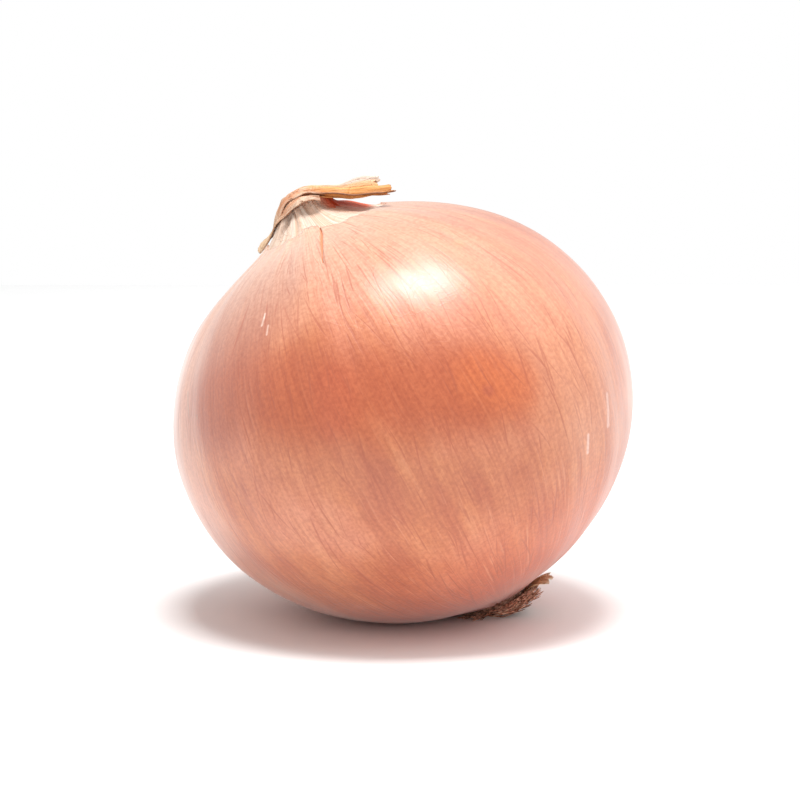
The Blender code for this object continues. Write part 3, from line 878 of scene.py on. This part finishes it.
# %% The leaf's two edges
LEAF_FRONT_EDGE = (
    (-6.3, 2.0, -9.4), (-5.3, 1.2, -7.7), (-4.0, 0.2, -5.7), (-3.5, -1.4, -3.1), (-2.5, -3.0, -0.6),
    (-0.5, -4.2, 1.2), (1.7, -4.7, 2.2), (4.3, -5.0, 2.2), (6.8, -5.2, 2.3), (9.4, -5.4, 2.1),
    (11.9, -5.6, 2.3), (14.6, -5.8, 2.5), (17.2, -6.0, 2.9),
)
LEAF_BACK_EDGE = (
    (-7.9, 4.5, -8.7), (-6.7, 4.6, -7.1), (-4.6, 4.7, -5.3), (-3.6, 4.8, -2.8), (-2.2, 5.0, -0.4),
    (-0.3, 5.0, 0.8), (2.1, 4.6, 1.8), (4.8, 3.6, 2.3), (7.4, 2.0, 3.1), (9.4, 0.6, 4.2),
    (11.2, -0.6, 4.9), (12.8, -1.4, 5.1), (14.3, -2.0, 5.0),
)


def curve_points(points, share):
    """Places on the smooth curve through the points, one for each share from 0 to 1."""
    corners = np.array(points)
    place = np.clip(share, 0, 1) * (len(points) - 1)
    first = np.minimum(place.astype(int), len(points) - 2)
    part = (place - first)[:, None]
    steps = (np.clip(first + step, 0, len(points) - 1) for step in (-1, 0, 1, 2))
    before, start, end, after = (corners[step] for step in steps)
    bend = 2 * start + (end - before) * part
    bend += (2 * before - 5 * start + 4 * end - after) * part**2
    bend += (3 * start - before - 3 * end + after) * part**3
    return bend / 2


edge_steps = np.diff(np.array(LEAF_FRONT_EDGE), axis=0)
print("length of the leaf's front edge, mm:", round(np.linalg.norm(edge_steps, axis=1).sum(), 1))

# %% [markdown]
# Between its edges the leaf is arched, folded and torn at the flap's end. It is also kept clear of the
# skins below it, as a real dry leaf would lie on them and not in them.

# %% The leaf's surface and its folds
LEAF_CROWN, LEAF_CLEARANCE = 0.8 * MM, 0.3 * MM
HOOD_START, HOOD_FALL, HOOD_END = 0.3, 0.55, 0.72
FLAP_REACH = (1.0, 0.99, 0.98, 0.985, 0.975, 0.93, 0.90, 0.92, 0.94, 0.95, 0.96, 0.94, 0.88)


def keep_outside(places, margin):
    """Moves places away from the middle until they clear the skin and the neck by the margin."""
    tilt, turn, far = angles_of(places)
    floor = np.maximum(skin_radius(tilt, turn), collar_radius(tilt, turn)) + margin
    offset = places - CENTRE
    return CENTRE + offset * (np.maximum(far, floor) / far)[:, None]


def leaf_surface(along, across, lift, shift):
    """The leaf's face: along from tab to flap, across from front to back, lift away from the bulb."""
    ragged = np.interp(across, np.linspace(0, 1, len(FLAP_REACH)), FLAP_REACH)
    edge = np.stack([across * 14 + shift, np.zeros_like(across), np.full_like(across, shift)], 1)
    ragged += 0.035 * noise_at(edge, 1.0) * smooth_step(0.9, 1.0, along)
    reach = along * (1 - smooth_step(0.5, 1.0, along) * (1 - ragged))
    reach += 0.05 * (1 - smooth_step(0.0, HOOD_START, along)) * (2 * across - 1) ** 2
    front, back = curve_points(LEAF_FRONT_EDGE, reach), curve_points(LEAF_BACK_EDGE, reach)
    places = np.array(THROAT) + (front + (back - front) * across[:, None]) * MM
    outward = places - CENTRE
    outward /= np.linalg.norm(outward, axis=1)[:, None]
    arch = 1 - (2 * across - 1) ** 2
    hood = smooth_step(0.0, HOOD_START, along) * (1 - smooth_step(HOOD_FALL, HOOD_END, along))
    height = LEAF_CROWN * arch * (0.25 + 0.75 * hood) + leaf_folds(along, across, shift) + lift
    return keep_outside(places + outward * height[:, None], LEAF_CLEARANCE)


def leaf_folds(along, across, shift):
    """Folds along the leaf: broad ones everywhere, sharp creases where it is twisted together."""
    broad = 0.32 * MM * np.cos(2 * math.pi * 3.2 * across + 2.0 * along) * smooth_step(0.1, 0.6, along)
    line = np.stack([across * 9 + along * 3.5, along * 2.2, np.full_like(along, shift)], 1)
    fine = np.stack([across * 24 + along * 8.0, along * 3.0, np.full_like(along, shift + 4)], 1)
    deep, small = 0.25 - np.abs(noise_at(line, 1.0)), 0.2 - np.abs(noise_at(fine, 1.0))
    return broad + (0.35 + 1.35 * bump_at(along, 0.36, 0.2)) * (1.3 * deep + 0.4 * small) * MM


print("flap's end torn back by up to", round(1 - min(FLAP_REACH), 2), "of the leaf")

# %% [markdown]
# The leaf is drawn in its own two directions, along and across, which each layer keeps at its vertices,
# so its streaks follow every fold. It is olive tan at the tab, pinkish over the throat, and straw
# coloured on the flap, deepest at the flap's front edge.

# %% Dry leaf paper
FLAP_ACROSS = (
    (0.0, (0.24, 0.085, 0.03)), (0.10, (0.66, 0.27, 0.07)), (0.38, (0.78, 0.39, 0.13)),
    (0.58, (0.68, 0.45, 0.29)), (0.80, (0.70, 0.55, 0.45)),
)
HOOD_ACROSS = (
    (0.0, (0.70, 0.36, 0.21)), (0.30, (0.64, 0.29, 0.15)), (0.60, (0.70, 0.43, 0.28)),
    (0.95, (0.66, 0.45, 0.31)),
)
TAB_BLOTCHES = ((0.35, (0.46, 0.32, 0.15)), (0.5, (0.68, 0.44, 0.25)), (0.7, (0.76, 0.55, 0.38)))
LEAF_STREAKS = ((0.30, (0.42, 0.26, 0.16)), (0.48, (1.0, 1.0, 1.0)), (0.72, (1.12, 1.16, 1.2)))


def build_leaf_paper():
    material, tree, shader, place = start_material("dry_leaf")
    paper = add_group(tree, PAPER, Place=place, Grain_size=1700.0)
    along, across = kept_value(tree, "along"), kept_value(tree, "across")
    sheet = combine(tree, across, maths(tree, "MULTIPLY", along, 0.16))
    lines = noise_field(tree, sheet, 22.0, 5.0, Roughness=0.65)["Fac"]
    hood = ramp(tree, across, *HOOD_ACROSS)
    hood = mix_colour(tree, ramp(tree, lines, (0.47, 0.0), (0.58, 0.8)), hood, (0.74, 0.56, 0.42))
    tab = ramp(tree, paper["Blotches"], *TAB_BLOTCHES)
    colour = mix_colour(tree, ramp(tree, along, (0.12, 0.0), (0.34, 1.0)), tab, hood)
    flap = ramp(tree, across, *FLAP_ACROSS)
    colour = mix_colour(tree, ramp(tree, along, (0.46, 0.0), (0.60, 1.0)), colour, flap)
    colour = mix_colour(tree, 0.85, colour, ramp(tree, lines, *LEAF_STREAKS), "MULTIPLY")
    ridges = maths(tree, "ADD", maths(tree, "MULTIPLY", lines, 3.0), paper["Creases"])
    rough = ramp(tree, paper["Grain"], (0.3, 0.40), (0.7, 0.6))
    feed(tree, shader, Base_Color=colour, Roughness=rough, Normal=bump_normal(tree, ridges, 0.7, 0.12 * MM))
    return material


LEAF_PAPER = build_leaf_paper()
print("leaf nodes", len(LEAF_PAPER.node_tree.nodes))

# %% [markdown]
# The leaf is not one sheet all the way. Under the flap and under the hood's front edge lie short inner
# layers, and on the flap's back half a thin pale layer fans out. All four are grids laid on the same
# surface, each over its own part of it, and each keeps its shares along and across for the material.

# %% Leaf layers


def shares_of(piece):
    flat = vertex_array(piece)
    return flat[:, 0] + 0.5, flat[:, 1] + 0.5


def leaf_layer(name, along_span, across_span, lift, thickness, shift, steps):
    piece = start_grid(name, *steps)
    along, across = shares_of(piece)
    along = along_span[0] + (along_span[1] - along_span[0]) * along
    across = across_span[0] + (across_span[1] - across_span[0]) * across
    height = (lift[0] + (lift[1] - lift[0]) * smooth_step(0.5, 0.9, along)) * MM
    lay(piece, leaf_surface(along, across, height, shift))
    store(piece, "along", along)
    store(piece, "across", across)
    face_outwards(piece)
    thicken(piece, thickness * MM)
    return piece


LEAF_LAYERS = (
    # Name, spans along and across, lift at the foot and at the tip, thickness, noise shift, steps.
    ("leaf_sheet", (0.0, 1.0), (0.0, 1.0), (0.42, 0.42), 0.25, 1.0, (260, 72)),
    ("flap_fan", (0.50, 0.97), (0.50, 1.0), (0.45, 0.45), 0.15, 9.0, (140, 40)),
    ("flap_under", (0.47, 0.97), (0.10, 0.42), (-0.05, -0.15), 0.15, 5.0, (140, 34)),
    ("hood_fold", (0.17, 0.56), (-0.14, 0.30), (-0.25, -0.25), 0.20, 13.0, (150, 34)),
)
for layer in [leaf_layer(*row) for row in LEAF_LAYERS]:
    finish_piece(layer, LEAF_PAPER, "dry_leaf", "neck_leaf")

# %% [markdown]
# Between the collar and the leaf the dry skins stand up as a gathered bundle, which closes the neck.
# It is a closed dome: its foot stands on the collar, its top lies under the leaf's hood, and its wall
# is drawn into the same kind of sharp pleats.

# %% The bundle's places
BUNDLE_MERIDIANS, BUNDLE_RINGS, BUNDLE_TOP_RING, BUNDLE_FOOT_RING = 300, 64, 8, 52
BUNDLE_SINK, BUNDLE_FLOOR_TILT = 3.0 * MM, math.radians(8.0)
RED_FRONT, RED_BACK = np.radians((-52, -30)), np.radians((60, 90))
DARK_SPOTS, SPOT_WIDTH = ((-16.9, -2.9, 75.0), (-16.3, -3.1, 75.2)), 0.55 * MM


def bundle_top(turn, spread):
    """The outline of the bundle under the leaf, shrunk to its middle line where spread is 0."""
    along = 0.41 + 0.20 * np.cos(turn) * spread
    across = 0.5 + 0.42 * np.sin(turn) * spread
    return leaf_surface(along, across, 0.12 * MM, 1.0)


def bundle_foot(turn, share):
    tilt = np.radians(8.3 + 2.6 * np.cos(turn)) * share
    radius = collar_radius(tilt, turn) + pleat_height(tilt, turn, 0.5 + 0 * tilt) - 0.12 * MM
    return place_at(tilt, turn, radius)


def bundle_places(ring, turn):
    cap = np.clip(ring / BUNDLE_TOP_RING, 0, 1)
    side = np.clip((ring - BUNDLE_TOP_RING) / (BUNDLE_FOOT_RING - BUNDLE_TOP_RING), 0, 1)[:, None]
    top, bend, foot = bundle_top(turn, cap), bundle_foot(turn, 0.66), bundle_foot(turn, 1.0)
    places = (1 - side) ** 2 * top + 2 * side * (1 - side) * bend + side**2 * foot
    sideways = np.outer(np.cos(turn), SIDE) + np.outer(np.sin(turn), BACK)
    broad = np.abs(streak_noise(side[:, 0] * 0.4, turn, 3.6, 1.0, 21.0)) - 0.2
    fine = np.abs(streak_noise(side[:, 0] * 0.9, turn, 9.0, 1.0, 27.0)) - 0.2
    pleats = np.sin(math.pi * np.clip(side[:, 0], 0, 1)) * (1.1 * broad + 0.5 * fine) * MM
    places = places + sideways * pleats[:, None]
    inside = (BUNDLE_RINGS - ring) / (BUNDLE_RINGS - BUNDLE_FOOT_RING)
    depth = skin_radius(0 * turn, turn) - BUNDLE_SINK
    floor = place_at(BUNDLE_FLOOR_TILT * inside, turn, depth)
    return np.where((ring <= BUNDLE_FOOT_RING)[:, None], places, floor)


print("bundle's walls have", BUNDLE_FOOT_RING - BUNDLE_TOP_RING, "rings")

# %% [markdown]
# The bundle shares the cream skin's material. Under the flap it is deep red, partly its own colour
# and partly painted shade. The end of the dark fold is kept as brown painted shade, and two small dark
# spots are kept as brown too.

# %% Neck bundle


def near_points(places, points, width):
    """1 at any of the points, given in millimetres, and 0 beyond the width."""
    away = np.min([np.linalg.norm(places - np.array(point) * MM, axis=1) for point in points], axis=0)
    return 1 - smooth_step(width * 0.4, width, away)


bundle = start_sphere("neck_bundle", BUNDLE_MERIDIANS, BUNDLE_RINGS)
ring, turn = rings_and_turns(bundle, BUNDLE_RINGS)
places = bundle_places(ring, turn)
lay(bundle, places)
# Red for the hollow under the flap, partly painted shade; brown for painted shade at the fold's end, and
# two small dark spots.
store(bundle, "red_and_flap_shade", smooth_step(*RED_FRONT, turn) * (1 - smooth_step(*RED_BACK, turn)))
fold_shade_and_spots = near_points(places, DARK_SPOTS, SPOT_WIDTH) + fold_depth(places) / FOLD_DEPTH
store(bundle, "fold_shade_and_spots", np.clip(fold_shade_and_spots, 0, 1))
finish_piece(bundle, CREAM, "cream_inner_skin", "neck_collar")

# %% [markdown]
# The roots are what is left of a trimmed tuft: a corky plate with a matted crown of thin dry fibres
# that were pressed against the bulb. The plate is a sphere laid over the root end, lumpy, and thinner
# where the table leaves it little room.

# %% The plate's places
PLATE_TILT, PLATE_THICKNESS, PLATE_ROOM = math.radians(8), 1.7 * MM, 1.3 * MM
PLATE_MERIDIANS, PLATE_RINGS, PLATE_SHADE = 180, 72, 0.3


def room_below(tilt, turn):
    """How far the table lies beyond a place on the skin, measured away from the bulb's middle."""
    way = directions(tilt, turn)
    down = np.maximum(-way[:, 2], 1e-6)
    return np.where(way[:, 2] < 0, MIDDLE.z / down - skin_radius(tilt, turn), 1.0)


def plate_edge(turn):
    """The plate's rim, as an angle from the root's middle. It ends early where there is little room."""
    edge = np.full(len(turn), PLATE_TILT)
    for _ in range(28):
        tight = room_below(math.pi - edge, turn) < PLATE_ROOM
        edge = np.where(tight, edge - math.radians(0.25), edge)
    return edge


def plate_places(ring, turn):
    half = PLATE_RINGS // 2
    share = np.where(ring >= half, (PLATE_RINGS - ring) / half, ring / half)
    ragged = 1 + 0.06 * streak_noise(ring * 0, turn, 6.0, 0.0, 31.0)
    tilt = math.pi - plate_edge(turn) * share * ragged
    way = directions(tilt, turn)
    lump = 0.7 * MM * noise_at(way, 26.0) + 0.35 * MM * noise_at(way, 70.0, 3.0)
    outer = 0.4 * MM + (PLATE_THICKNESS + lump) * (1 - share**3)
    height = np.where(ring >= half, np.minimum(outer, room_below(tilt, turn) - 0.3 * MM), -0.1 * MM)
    return place_at(tilt, turn, skin_radius(tilt, turn) + height)


print("room under the root's middle, mm:", round(room_below(np.array([math.pi]), np.zeros(1))[0] / MM, 1))

# %% [markdown]
# Dry roots are brown where they are dirty and pale where they are clean. One material serves the plate
# and the fibres: a coarse grain colours it, and a kept shade makes each fibre darker or lighter and
# gives the plate its painted shade.

# %% Dry roots
ROOT_BROWNS = ((0.32, (0.17, 0.060, 0.032)), (0.5, (0.56, 0.28, 0.185)), (0.68, (0.90, 0.62, 0.48)))
SHADES = ((0.0, 0.35), (0.5, 1.0), (1.0, 1.75))


def build_root_material():
    material, tree, shader, place = start_material("dry_roots")
    paper = add_group(tree, PAPER, Place=place, Grain_size=1300.0)
    base, shade = ramp(tree, paper["Grain"], *ROOT_BROWNS), ramp(tree, kept_value(tree, "shade"), *SHADES)
    colour = mix_colour(tree, 1.0, base, shade, "MULTIPLY")
    normal = bump_normal(tree, paper["Grain"], 0.8, 0.3 * MM)
    feed(tree, shader, Base_Color=colour, Roughness=0.9, Normal=normal)
    return material


ROOTS = build_root_material()
print("root nodes", len(ROOTS.node_tree.nodes))

# %% [markdown]
# The plate takes its places, with one dark painted shade all over, as it lies in shadow behind the
# fibres.

# %% Root plate
plate = start_sphere("root_plate", PLATE_MERIDIANS, PLATE_RINGS)
lay(plate, plate_places(*rings_and_turns(plate, PLATE_RINGS)))
# Painted shade: the plate is darkened all over because it lies behind the fibres.
store(plate, "shade", np.full(len(plate.data.vertices), PLATE_SHADE))
finish_piece(plate, ROOTS, "dry_roots", "root_tuft")

# %% [markdown]
# The fibres were combed flat when the bulb was cleaned, so most run one way, to the right. All
# routes are drawn at once as arrays, on the flat plane that touches the root end, because a curve
# for each fibre would be slow. Each fibre is bent down where the table leaves it little room.

# %% The fibres' routes
FIBRES, FIBRE_SIDES, FIBRE_RINGS = 760, 5, 9
FIBRE_RADIUS = (0.07 * MM, 0.19 * MM)
FIBRE_REACH = (math.radians(8.6), math.radians(11.4))
SPLAY, LONG_TURN = 1.5 * MM, math.radians(-135)
COMBED_TURNS = (math.radians(-125), math.radians(60))


def fibre_routes(share, draw):
    """Places along every fibre at once: rows are fibres, columns are shares of their length."""
    turn = draw.uniform(-math.pi, math.pi, FIBRES)
    start = plate_edge(turn) * np.sqrt(draw.uniform(0.05, 1.0, FIBRES))
    is_combed = (turn > COMBED_TURNS[0]) & (turn < COMBED_TURNS[1])
    heading = np.where(is_combed, turn * 0.16, turn) + draw.normal(0, 0.24, FIBRES)
    bend = draw.normal(0, 0.16, FIBRES)
    longer = 3.2 * np.maximum(0, np.cos(turn - LONG_TURN)) ** 2 + 1.5 * np.maximum(0, np.cos(turn)) ** 4
    reach = draw.uniform(*FIBRE_REACH, FIBRES) - start * np.cos(turn - heading)
    length = np.radians(draw.uniform(2.0, 6.5, FIBRES) + longer)
    length = np.where(is_combed, np.minimum(length + math.radians(3.5), reach), length)
    rise = np.maximum(draw.uniform(0.2 * MM, 2.3 * MM, FIBRES), np.where(is_combed, 0.7 * MM, 0))
    angle = heading[:, None] + bend[:, None] * share
    right = (start * np.cos(turn))[:, None] + length[:, None] * share * np.cos(angle)
    back = (start * np.sin(turn))[:, None] + length[:, None] * share * np.sin(angle)
    tilt, turn = (math.pi - np.hypot(right, back)).ravel(), np.arctan2(back, right).ravel()
    splay = SPLAY * is_combed * draw.uniform(0, 1, FIBRES) ** 2
    height = 0.2 * MM + rise[:, None] * (0.65 + 0.35 * np.sin(math.pi * (0.05 + 0.8 * share)))
    height += splay[:, None] * share**2
    room = room_below(tilt, turn) - 0.2 * MM
    height = np.minimum(height.ravel(), np.maximum(room, 0.1 * MM))
    return place_at(tilt, turn, skin_radius(tilt, turn) + height).reshape(FIBRES, -1, 3)


print(FIBRES, "fibres, to", round(math.degrees(FIBRE_REACH[1]), 1), "degrees from the root's middle")

# %% [markdown]
# One fibre is a slim closed sphere with a few dozen faces. An Array modifier copies it, and each copy's
# rings are then threaded on a route of its own, thick at the plate and thin at the tip. The draws have
# a fixed seed, so every run grows the same roots.

# %% Root fibres
FIBRE_SEED, FIBRE_TAPER, FLOOR_GAP = 11, 0.55, 0.02 * MM


def unit_rows(vectors):
    return vectors / (np.linalg.norm(vectors, axis=2)[:, :, None] + 1e-12)


def threaded(route, ring, around, thickness):
    """Places round the routes: a row for each fibre, a column for each vertex of the first one."""
    along = unit_rows(np.gradient(route, axis=1))
    sideways = unit_rows(np.cross(along, route - CENTRE))
    upward = np.cross(sideways, along)
    taper = thickness[:, None] * (1 - FIBRE_TAPER * np.linspace(0, 1, FIBRE_RINGS + 1)[None, :])
    girth = np.where((ring == 0) | (ring == FIBRE_RINGS), 0, 1)
    swing = np.cos(around)[:, None] * sideways[:, ring] + np.sin(around)[:, None] * upward[:, ring]
    return route[:, ring] + swing * (taper[:, ring] * girth)[:, :, None]


fibres = start_sphere("root_fibres", FIBRE_SIDES, FIBRE_RINGS)
ring, around = rings_and_turns(fibres, FIBRE_RINGS)
copies = fibres.modifiers.new("Copies", "ARRAY")
copies.count = FIBRES
copies.use_relative_offset = False
bpy.ops.object.modifier_apply(modifier=copies.name)
draw = np.random.default_rng(FIBRE_SEED)
route = fibre_routes(np.linspace(0, 1, FIBRE_RINGS + 1)[None, :], draw)
places = threaded(route, ring.astype(int), around, draw.uniform(*FIBRE_RADIUS, FIBRES)).reshape(-1, 3)
places[:, 2] = np.maximum(places[:, 2], FLOOR_GAP)
lay(fibres, places)
store(fibres, "shade", np.repeat(draw.uniform(0.1, 1.0, FIBRES), len(ring)))
finish_piece(fibres, ROOTS, "dry_roots", "root_tuft")

# %% [markdown]
# The husk is a scrap of the outermost skin that still holds on beside the roots. It is a thin sheet,
# rooted at the plate, cupped, and lifting off the bulb towards a torn tip. A grid is bent into it, with
# waves and noise that grow towards the tip.

# %% The husk's places
HUSK_TURNS = (math.radians(-34), math.radians(10))
HUSK_TILTS = (math.radians(9.3), math.radians(15.8))
HUSK_STEPS, HUSK_THICKNESS, HUSK_LIFT = (48, 48), 0.18 * MM, 1.55 * MM


def husk_places(along, across):
    middle_turn = (HUSK_TURNS[0] + HUSK_TURNS[1]) / 2
    spread = (HUSK_TURNS[1] - HUSK_TURNS[0]) * (1 - 0.35 * along)
    edge = np.stack([across * 9, np.zeros_like(along), np.full_like(along, 2.0)], 1)
    ragged = 1 - along * (0.10 * np.sin(across * 9) ** 2 + 0.10 * np.abs(noise_at(edge, 1.0)))
    turn = middle_turn + spread * (across - 0.5)
    tilt = math.pi - HUSK_TILTS[0] - (HUSK_TILTS[1] - HUSK_TILTS[0]) * along * ragged
    fold = np.stack([across * 7, along * 1.5, np.full_like(along, 6.0)], 1)
    wave = (0.3 * np.sin(across * 12) + 0.5 * noise_at(fold, 1.0)) * MM
    height = 0.5 * MM + HUSK_LIFT * along**2 + wave * along
    return place_at(tilt, turn, skin_radius(tilt, turn) + height)


print("husk's foot and tip, degrees from the root's middle:", np.degrees(HUSK_TILTS).round(1))

# %% [markdown]
# The husk's colour goes from brown at the foot to pale tan at the tip: this is painted light, where a
# real husk lets some light through. The same vein group gives it its fibres.

# %% Husk
HUSK_ALONG = (
    (0.0, (0.30, 0.12, 0.05)), (0.3, (0.62, 0.38, 0.17)), (0.7, (0.72, 0.54, 0.32)),
    (1.0, (0.84, 0.70, 0.52)),
)
HUSK_STREAKS = ((0.36, (0.55, 0.40, 0.28)), (0.52, (1.08, 1.08, 1.08)))


def build_husk_paper():
    material, tree, shader, place = start_material("tan_husk")
    veins = add_group(tree, VEINS, Growth_place=place)
    paper = add_group(tree, PAPER, Place=place, Grain_size=1500.0)
    # Paler towards the tip: painted light passing through the thin husk.
    base = ramp(tree, kept_value(tree, "along"), *HUSK_ALONG)
    colour = mix_colour(tree, 0.9, base, ramp(tree, veins["Fibres"], *HUSK_STREAKS), "MULTIPLY")
    ridges = maths(tree, "ADD", veins["Fibres"], paper["Creases"])
    feed(tree, shader, Base_Color=colour, Roughness=0.6, Normal=bump_normal(tree, ridges, 0.7, 0.15 * MM))
    return material


husk = start_grid("husk_scrap", *HUSK_STEPS)
along, across = shares_of(husk)
lay(husk, husk_places(along, across))
store(husk, "along", along)
face_outwards(husk)
thicken(husk, HUSK_THICKNESS)
finish_piece(husk, build_husk_paper(), "tan_husk", "root_husk")

# %% [markdown]
# The floor is a plain pale plane. It ends not far behind the onion, where it and the surroundings are
# both white, so its edge hardly shows.

# %% Floor
FLOOR_SIZE, FLOOR_WHITE = 1.3, (0.92, 0.92, 0.92)

floor = start_piece("floor", bpy.ops.mesh.primitive_plane_add, size=FLOOR_SIZE)
pale = bpy.data.materials.new("floor")
pale.use_nodes = True
feed(pale.node_tree, pale.node_tree.nodes["Principled BSDF"], Base_Color=FLOOR_WHITE, Roughness=0.8)
floor.data.materials.append(pale)
print("floor", FLOOR_SIZE, "m wide")

# %% [markdown]
# The light is soft, as in a product studio: a small panel overhead gives the highlight, a wide one to
# the right keeps the floor white, and the surroundings are white too. They light the onion a little
# less than they look, so that its edges don't glow.

# %% Light
PANELS = (
    # Name, place, size and watts.
    ("window", (0.022, -0.092, 0.66), (0.26, 0.17), 4.2),
    ("overhead", (0.5, 0.05, 1.2), (1.5, 1.5), 8.0),
)
SKY_LIGHT, SKY_LOOK = 0.65, 1.0


def add_panel(name, place, size, watts):
    turned = (MIDDLE - Vector(place)).to_track_quat("-Z", "Y").to_euler()
    bpy.ops.object.light_add(type="AREA", location=place, rotation=turned)
    panel = bpy.context.active_object
    panel.name = name
    panel.data.shape = "RECTANGLE"
    panel.data.size, panel.data.size_y = size
    panel.data.energy = watts


for row in PANELS:
    add_panel(*row)
world = bpy.data.worlds.new("white_room")
bpy.context.scene.world = world
world.use_nodes = True
sky = world.node_tree.nodes["Background"]
seen = add_node(world.node_tree, "ShaderNodeLightPath", {}).outputs["Is Camera Ray"]
strength = add_node(world.node_tree, "ShaderNodeMapRange", {0: seen, 3: SKY_LIGHT, 4: SKY_LOOK})
feed(world.node_tree, sky, Color=(1, 1, 1), Strength=strength.outputs[0])
print(len(PANELS), "panels placed")
